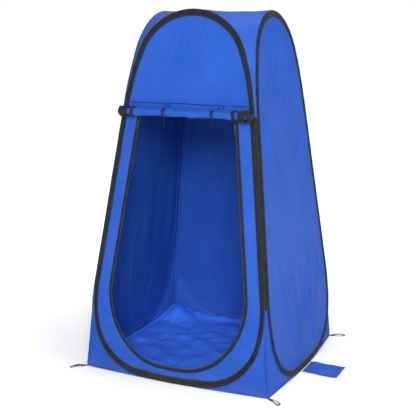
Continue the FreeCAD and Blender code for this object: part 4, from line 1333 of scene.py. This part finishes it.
@dataclass
class DoorRoll:
    """The door, rolled up from its foot and tied under the header.

    The cloth is one spiral: its inner end is the door's foot and its outer end is sewn to the hem.
    """

    axis_v: float = ROLL_AXIS[0]
    axis_n: float = ROLL_AXIS[1]
    core: float = 0.0045
    outer: float = 0.0200
    end_outer: float = 0.0240
    half_long: float = 0.3723
    turns: float = 17.5
    per_turn: int = 20
    columns: int = 132

    def radius(self, x: np.ndarray, turn: np.ndarray) -> np.ndarray:
        """Each layer's distance from the axis, before creases: an even spiral, fuller at the bound ends."""
        share = turn / (self.turns * math.tau)
        fuller = 1.0 + (self.end_outer / self.outer - 1.0) * smooth((np.abs(x) - 0.20) / 0.10)
        return (self.core + (self.outer - self.core) * share) * fuller

    def creased(self, x: np.ndarray, angle: np.ndarray) -> np.ndarray:
        """The share by which the roll's outside swells or dents: slanting folds that run round it."""
        slant = np.sin(angle + x * 38 + 1.4 * np.sin(x * 17)) * 0.05
        twist = np.sin(2 * angle - x * 61 + 2.0 * np.sin(x * 23 + 1))
        folds = 0.055 * twist * np.cos(x * 9 + 0.5) - 0.035 * np.abs(
            np.sin(angle * 1.5 + x * 47 + 1.8 * np.sin(x * 31)))
        broad = 0.06 * np.sin(x * 26 + 0.8) * np.cos(angle * 1.0 + 0.4)
        return slant + folds + broad

    def place(self, x: np.ndarray, radius: np.ndarray, angle: np.ndarray) -> np.ndarray:
        """A point round the roll's axis; angle 0 is outwards and a quarter turn is up the wall."""
        v, n = self.axis_v + radius * np.sin(angle), self.axis_n + radius * np.cos(angle)
        return WallFrame(0).place(x, v, n)

    def cloth(self, finishes: Finishes) -> bpy.types.Object:
        """The spiral sheet and the strip from its outer end up to the hem."""
        turn = np.linspace(0, self.turns * math.tau, int(self.turns * self.per_turn))[:, None]
        share = turn / turn[-1]
        a = np.linspace(-1, 1, self.columns)[None, :]
        door_v = 0.085 + share * (HEADER_LOW - 0.085)
        half = np.interp(door_v.ravel(), *self.door_widths())[:, None]
        x = a * np.minimum(half, self.half_long)
        start = math.radians(118)
        angle = start - (turn - turn[-1])
        swell = 1.2 * self.creased(x, angle) * (0.35 + 0.65 * share)
        wide = self.radius(x, turn) * (1 + swell)
        points = self.place(x, wide, angle)
        uv = pair(x, door_v)
        last = points[-1]
        hem_x = a.ravel() * half[-1, 0]
        hem = WallFrame(0).place(hem_x, np.full(self.columns, HEADER_TOP - 0.004),
                                 np.full(self.columns, 0.0045))
        t = np.linspace(0, 1, 12)[1:, None, None]
        strip = last[None] + (hem - last)[None] * t
        strip[..., 2] += (0.004 * np.sin(np.pi * t))[..., 0]
        strip_v = HEADER_LOW + 0.030 * t[..., 0]
        uv_strip = pair(hem_x[None, :], strip_v)
        made = Grids("door_roll_cloth").add(np.concatenate([points, strip]), np.concatenate([uv, uv_strip]),
                                            flip=True)
        made = made.build(merge=0)
        dress(made, finishes.roll, "door_fabric", "door_roll", "door_roll")
        area = 2 * float(np.trapz(np.minimum(half.ravel(), self.half_long), door_v.ravel())) + 0.53 * 0.04
        return made

    def door_widths(self) -> tuple[np.ndarray, np.ndarray]:
        """The door's half width at each height of its flat cut."""
        half = DOOR.half((1, 1, 60, 40, 40, 40))[3:]
        half = half[half[:, 1] < HEADER_LOW]
        order = np.argsort(half[:, 1])
        return half[order, 1], half[order, 0]

    def bands(self, finishes: Finishes) -> bpy.types.Object:
        """The black binding of the door's edge, seen as bands round each end of the roll.

        Each band is a strap carried round the axis for a little over one turn, slanting as it goes.
        """
        tape = Grids("door_edge_binding_bands")
        spans = ((0.2765, 0.019, 0.0262), (0.3085, 0.021, 0.0272), (0.3325, 0.021, 0.0276),
                 (0.3585, 0.025, 0.0262),
                 (-0.2915, 0.017, 0.0248), (-0.3220, 0.016, 0.0254), (-0.3525, 0.026, 0.0252))
        for index, (x, wide, radius) in enumerate(spans):
            angle = np.linspace(0, math.tau * 1.06, 64)[:, None] + 0.6 * index
            section = rounded(wide, 0.0032, 14, 0.5)[None]
            slant = 0.006 * np.sin(angle + index) * (1 if index % 2 else -0.6)
            wobble = 1 + 0.05 * np.sin(2 * angle + index * 1.7) + 0.03 * np.sin(3 * angle + index)
            reach = (radius + section[..., 1]) * wobble + 0.0004 * np.linspace(0, 1, 64)[:, None]
            points = self.place(x + section[..., 0] + slant, reach, angle + 0 * section[..., 0])
            uv = pair(angle * radius, section[..., 0] + wide / 2)
            tape.add(points, uv, wrap=True, caps=True)
        made = tape.build(outward=True)
        return dress(made, finishes.tape, "binding_tape", "door_roll", "door_edge_binding")

    def tips(self, finishes: Finishes) -> bpy.types.Object:
        """The gathered ends of the roll: a core that closes each end, dished towards the axis."""
        tips = Grids("door_roll_tips")
        for sign in (1, -1):
            share = np.linspace(0, 1, 14)[:, None]
            angle = np.linspace(0, math.tau, 41)[None, :-1]
            radius = np.where(share < 0.5, 0.0190, 0.0190 * np.cos((share - 0.5) * math.pi * 0.92))
            x = sign * (0.352 + 0.0195 * np.minimum(share * 2, 1) - 0.004 * np.maximum(share - 0.5, 0))
            fold = 1 + 0.07 * np.sin(5 * angle + 2 * share) + 0.04 * np.sin(9 * angle + 1)
            points = self.place(x + 0 * angle, radius * fold, angle + 0 * share)
            uv = pair(angle * 0.02, share * 0.03)
            tips.add(points, uv, wrap=True, caps=True)
        made = tips.build(outward=True)
        return dress(made, finishes.tape, "binding_tape", "door_roll")

    def build(self, finishes: Finishes) -> None:
        """Makes the rolled cloth, its black bands and its gathered tips."""
        self.cloth(finishes)
        self.bands(finishes)
        self.tips(finishes)


@dataclass
class Tie:
    """One tie that holds the roll: a strap from the header, its turn round the roll, a knot and a tail."""

    name: str
    x: float
    route: list[tuple[float, float, float]] = field(default_factory=list)
    anchor_v: float = 1.428
    wide: float = 0.0065
    axis_v: float = ROLL_AXIS[0]
    axis_n: float = ROLL_AXIS[1]

    def strap(self, finishes: Finishes) -> bpy.types.Object:
        """The strap: a flat section carried from the header over the roll's front, under it and up behind."""
        angle = np.linspace(math.radians(150), math.radians(-212), 90)
        radius = 0.0232 + 0.0008 * np.sin(angle * 3)
        slant = -0.010 * smooth((math.radians(150) - angle) / math.radians(120))
        u = self.x + slant + 0.006 * smooth((math.radians(-60) - angle) / 2.4)
        v, n = self.axis_v + radius * np.sin(angle), self.axis_n + radius * np.cos(angle)
        lead = np.linspace(0, 1, 10)[:-1]
        u = np.concatenate([self.x + 0.004 * (1 - lead), u])
        v = np.concatenate([self.anchor_v + (v[0] - self.anchor_v) * lead, v])
        n = np.concatenate([0.0045 + (n[0] - 0.0045) * lead, n])
        path = WallFrame(0).place(u, v, n)
        side = np.broadcast_to(np.array([1.0, 0.0, 0.0]), path.shape)
        way = np.gradient(path, axis=0)
        way /= np.linalg.norm(way, axis=1, keepdims=True)
        side = side - (side * way).sum(1, keepdims=True) * way
        side /= np.linalg.norm(side, axis=1, keepdims=True)
        section = rounded(self.wide, 0.0013, 12, 0.5)
        points = sweep(path, side, np.cross(side, way), section)
        uv = pair(travel(path)[:, None], section[None, :, 0] + self.wide / 2)
        made = Grids(f"tie_strap_{self.name}").add(points, uv, wrap=True, caps=True).build(outward=True)
        return dress(made, finishes.webbing, "tie_tape", "door_roll", f"tie_loop_{self.name}")

    def knot(self, finishes: Finishes) -> bpy.types.Object:
        """The knot: a strap wound over itself along a small trefoil, drawn tight."""
        middle = WallFrame(0).place(np.array(self.x), np.array(self.axis_v + 0.0187),
                                    np.array(self.axis_n + 0.0187))
        t = np.linspace(0, math.tau, 97)[:-1]
        path = np.stack([0.0058 * (np.sin(t) + 0.55 * np.sin(2 * t)), 0.0030 * np.sin(3 * t) - 0.0012,
                         0.0036 * (np.cos(t) - 0.55 * np.cos(2 * t))], 1) + middle
        path = np.concatenate([path, path[:1]])
        side, out = frames_along(path, np.array([0.0, 1.0, 0.3]))
        points = sweep(path, side, out, rounded(0.0046, 0.0022, 10, 0.7))
        uv = pair(travel(path)[:, None], np.linspace(0, 0.01, 10)[None, :])
        made = Grids(f"tie_knot_{self.name}_strap").add(points, uv, wrap=True).build(outward=True)
        return dress(made, finishes.webbing, "tie_tape", "door_roll", f"tie_knot_{self.name}")

    def tail(self, finishes: Finishes) -> bpy.types.Object:
        """The tail that hangs from the knot, as a smooth curve through its route."""
        data = bpy.data.curves.new(f"tie_tail_{self.name}_cord", "CURVE")
        data.dimensions = "3D"
        spline = data.splines.new("NURBS")
        spline.points.add(len(self.route) - 1)
        for point, place in zip(spline.points, self.route):
            point.co = (*[c / 1000 for c in place], 1.0)
        spline.order_u, spline.use_endpoint_u = 3, True
        data.resolution_u, data.bevel_depth, data.bevel_resolution, data.use_fill_caps = 16, 0.0025, 5, True
        made = bpy.data.objects.new(data.name, data)
        bpy.context.scene.collection.objects.link(made)
        dress(made, finishes.cord, "tie_tape", "door_roll", f"tie_tail_{self.name}")
        exit_point = [c / 1000 for c in self.route[0]]
        return made

    def build(self, finishes: Finishes) -> None:
        """Makes the strap, the knot and the tail."""
        self.strap(finishes)
        self.knot(finishes)
        self.tail(finishes)


# ---------------------------------------------------------------- ground pieces

@dataclass
class PegLoop:
    """A loop of webbing at a floor corner, folded back on itself round the slot for a peg."""

    name: str
    corner: tuple[float, float]
    heading: float
    lift: float = 0.0022
    long: float = 0.088

    def build(self, finishes: Finishes) -> bpy.types.Object:
        """A strap on edge round a narrow pear shape, half twisted on its way out and back.

        Half width w(s) grows from 3 to 9.5 mm along the loop and closes in a blunt round end.

        Args:
            finishes: the tent's finishes.

        Returns:
            The piece.
        """
        t = np.linspace(0, 1, 121)
        out = np.sin(np.pi * t) ** 0.62
        half = 0.0022 + 0.0070 * smooth(out / 0.9)
        swing = np.sign(0.5 - t) * half * np.minimum(1.0, np.abs(0.5 - t) / 0.055) ** 0.6
        root = 0.004
        along = root + (self.long - root - 0.003) * out
        way = np.array([math.cos(math.radians(self.heading)), math.sin(math.radians(self.heading))])
        left = np.array([-way[1], way[0]])
        start = np.array(self.corner) + way * 0.008
        flat = start + along[:, None] * way + swing[:, None] * left
        z = self.lift + 0.0016 + 0.0050 * np.sin(np.pi * out) * (1 + 0.3 * np.sin(7 * t))
        path = np.concatenate([flat, z[:, None]], 1)
        side, up = frames_along(path, np.array([0.0, 0.0, 1.0]))
        twist = 0.35 * np.sin(2 * np.pi * t * 2 + 0.5)
        side, up = (side * np.cos(twist)[:, None] + up * np.sin(twist)[:, None],
                    up * np.cos(twist)[:, None] - side * np.sin(twist)[:, None])
        points = sweep(path, side, up, rounded(0.0062, 0.0026, 14, 0.6))
        points[..., 2] = np.maximum(points[..., 2], 0.0003)
        uv = pair(travel(path)[:, None], np.linspace(0, 0.016, 14)[None, :])
        loop = Grids(f"peg_loop_{self.name}_strap").add(points, uv, wrap=True, caps=True)
        t = np.linspace(0, 1, 12)
        stub = np.concatenate([start + (t * 0.030 - 0.004)[:, None] * way, (0.0034 + 0 * t)[:, None]], 1)
        side, up = frames_along(stub, np.array([0.0, 0.0, 1.0]))
        section = rounded(1.0, 0.0030, 14, 0.5)
        section = np.stack([section[:, 0] * (0.010 + 0.003 * t)[:, None], section[:, 1] + 0 * t[:, None]], -1)
        grid = sweep(stub, side, up, section)
        uv = pair(t[:, None] * 0.03, np.linspace(0, 0.02, 14)[None, :])
        loop.add(grid, uv, wrap=True, caps=True)
        made = loop.build(outward=True)
        return dress(made, finishes.webbing, "peg_webbing", f"peg_{self.name}", f"peg_loop_{self.name}")


@dataclass
class GroundFlap:
    """The flap sewn to the foot of the right wall, with a stitched hem at its root."""

    root: float = 0.56456
    long: float = 0.196
    hem: float = 0.024

    def build(self, finishes: Finishes) -> bpy.types.Object:
        """A cloth strip that lies on the ground: x from the root out, y spreading, z from soft waves."""
        s, t = np.meshgrid(np.linspace(0, 1, 56), np.linspace(-1, 1, 48), indexing="ij")
        x = self.root + s * self.long
        half = (0.160 + 0.013 * s) / 2
        y = -0.024 - 0.016 * s + t * half + 0.0012 * waves(s, t * 0, 81, 0.3) * t
        billow = 0.0030 + 0.0026 * waves(x, y, 82, 0.11)
        rise = 0.0020 + smooth(s / 0.2) * billow + 0.0040 * smooth((s - 0.8) / 0.2)
        fold = 0.0009 * (smooth((self.hem - s * self.long) / 0.002 + 0.5))
        z = np.maximum(rise + fold, 0.0012)
        points = np.stack([x, y, z], -1)
        uv = np.stack([t * half + 0.2, s * self.long], -1)
        made = Grids("ground_flap_cloth").add(points, uv).build(merge=0)
        thicken(made, 0.0010)
        dress(made, finishes.flap, "flap_fabric", "ground_flap", "ground_flap", "ground_flap_hem")
        return made


# ---------------------------------------------------------------- studio

@dataclass
class Studio:
    """The pale floor, whose painted glow whitens it away from the tent, the soft lights and the camera."""

    place: tuple[float, float, float] = (1.936, -4.385, 1.761)
    pitch: float = 79.025
    heading: float = 24.36
    roll: float = 0.499
    lens: float = 75.7

    def floor(self) -> None:
        """A broad flat floor under the tent, with painted light: it glows more the farther it lies from the
        tent's middle, so the far floor shows white.
        """
        a, b = np.meshgrid(np.linspace(-9, 9, 12), np.linspace(-9, 9, 12))
        made = Grids("floor_plane").add(np.stack([a, b, 0 * a - 0.0005], -1)).build(merge=0)
        paper = bpy.data.materials.new("Studio paper")
        paper.use_nodes = True
        n = Nodes(paper.node_tree)
        shader = paper.node_tree.nodes["Principled BSDF"]
        shader.inputs["Base Color"].default_value = (0.93, 0.93, 0.93, 1)
        shader.inputs["Roughness"].default_value = 0.9
        shader.inputs["Specular IOR Level"].default_value = 0.1
        shader.inputs["Emission Strength"].default_value = 0.60
        away = n.new("ShaderNodeVectorMath", {"operation": "LENGTH"},
                     i0=n.new("ShaderNodeTexCoord").outputs["Object"]).outputs["Value"]
        # Painted light: the floor's glow is nothing near the tent and full from about 2.8 m out.
        painted_glow = n.ramp(n.math("DIVIDE", away, 7.0), [(0.10, (0, 0, 0, 1)), (0.40, (1, 1, 1, 1))])
        paper.node_tree.links.new(painted_glow, shader.inputs["Emission Color"])
        made.data.materials.append(paper)

    def light(self, name: str, place: tuple[float, float, float], size: float, power: float) -> None:
        """A square soft light that faces the tent's middle."""
        data = bpy.data.lights.new(name, "AREA")
        data.size, data.energy, data.shape = size, power, "SQUARE"
        made = bpy.data.objects.new(name, data)
        bpy.context.scene.collection.objects.link(made)
        made.location = place
        way = Matrix.Translation((0, 0, 0.95)).translation - made.location
        made.rotation_mode = "QUATERNION"
        made.rotation_quaternion = way.to_track_quat("-Z", "Y")

    def beam(self, name: str, place: tuple[float, float, float], aim: tuple[float, float, float],
             angle: float, power: float) -> None:
        """A soft-edged beam through the doorway, on the floor and the foot of the walls behind it.

        Args:
            name: the light's name.
            place, aim: where it stands and the place it faces.
            angle: its whole opening, in degrees.
            power: its power in watts.
        """
        data = bpy.data.lights.new(name, "SPOT")
        data.energy, data.spot_size, data.spot_blend = power, math.radians(angle), 1.0
        data.shadow_soft_size = 0.35
        made = bpy.data.objects.new(name, data)
        bpy.context.scene.collection.objects.link(made)
        made.location = place
        made.rotation_mode = "QUATERNION"
        way = Matrix.Translation(aim).translation - made.location
        made.rotation_quaternion = way.to_track_quat("-Z", "Y")

    def build(self) -> None:
        """Sets the floor, the lights, the white surroundings and the camera."""
        self.floor()
        world = bpy.data.worlds.new("Studio")
        world.use_nodes = True
        n = Nodes(world.node_tree)
        seen = n.new("ShaderNodeLightPath").outputs["Is Camera Ray"]
        strength = n.math("ADD", 0.55, n.math("MULTIPLY", seen, 0.45))
        n.tree.links.new(strength, world.node_tree.nodes["Background"].inputs[1])
        world.node_tree.nodes["Background"].inputs[0].default_value = (1, 1, 1, 1)
        bpy.context.scene.world = world
        self.light("key", (2.0, -4.9, 3.3), 1.8, 285)
        self.light("top", (0.3, 0.4, 4.6), 2.2, 45)
        self.light("side", (4.6, -0.6, 2.4), 2.0, 70)
        self.beam("doorway", (1.0, -3.4, 1.9), (-0.35, 0.35, 0.12), 17.0, 300)
        data = bpy.data.cameras.new("camera")
        data.lens, data.sensor_width = self.lens, 36.0
        camera = bpy.data.objects.new("camera", data)
        bpy.context.scene.collection.objects.link(camera)
        turn = (Matrix.Rotation(math.radians(self.heading), 4, "Z")
                @ Matrix.Rotation(math.radians(self.pitch), 4, "X")
                @ Matrix.Rotation(math.radians(self.roll), 4, "Z"))
        camera.matrix_world = Matrix.Translation(self.place) @ turn
        bpy.context.scene.camera = camera
        bpy.context.scene.view_settings.view_transform = "Standard"


LEFT_TAIL = [(-105.0, -438.96, 1409.26), (-103.0, -441.46, 1379.26), (-99.0, -440.96, 1347.26),
             (-98.5, -439.46, 1313.26)]
RIGHT_TAIL = [(166.0, -438.96, 1409.26), (168.0, -441.46, 1379.26), (172.0, -440.96, 1347.26),
              (172.5, -439.46, 1313.26)]


def main() -> None:
    """Builds the studio and the tent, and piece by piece."""
    Studio().build()
    finishes = Finishes()
    for name, x, route in (("left", -0.105, LEFT_TAIL), ("right", 0.166, RIGHT_TAIL)):
        Tie(name, x, route).build(finishes)
    FrontWall(Side.FRONT, 11).build(finishes)
    for side, seed, slack in ((Side.RIGHT, 23, 2.0), (Side.BACK, 37, 0.5), (Side.LEFT, 53, 0.45)):
        Wall(side, seed, slack=slack).build(finishes)
    CornerStrip(Side.FRONT, Side.RIGHT).build(finishes)
    CornerStrip(Side.RIGHT, Side.BACK).build(finishes)
    CornerStrip(Side.LEFT, Side.FRONT).build(finishes)
    CornerStrip(Side.BACK, Side.LEFT, hinged=False).build(finishes)
    Roof().build(finishes)
    Floor().build(finishes)
    Doorway().build(finishes)
    DoorRoll().build(finishes)
    for name, corner, heading in (("front_left", (-0.525, -0.525), 225),
                                  ("front_right", (0.525, -0.525), 326),
                                  ("back_right", (0.525, 0.525), 24), ("back_left", (-0.525, 0.525), 140)):
        PegLoop(name, corner, heading).build(finishes)
    GroundFlap().build(finishes)


if __name__ == "__main__":
    main()
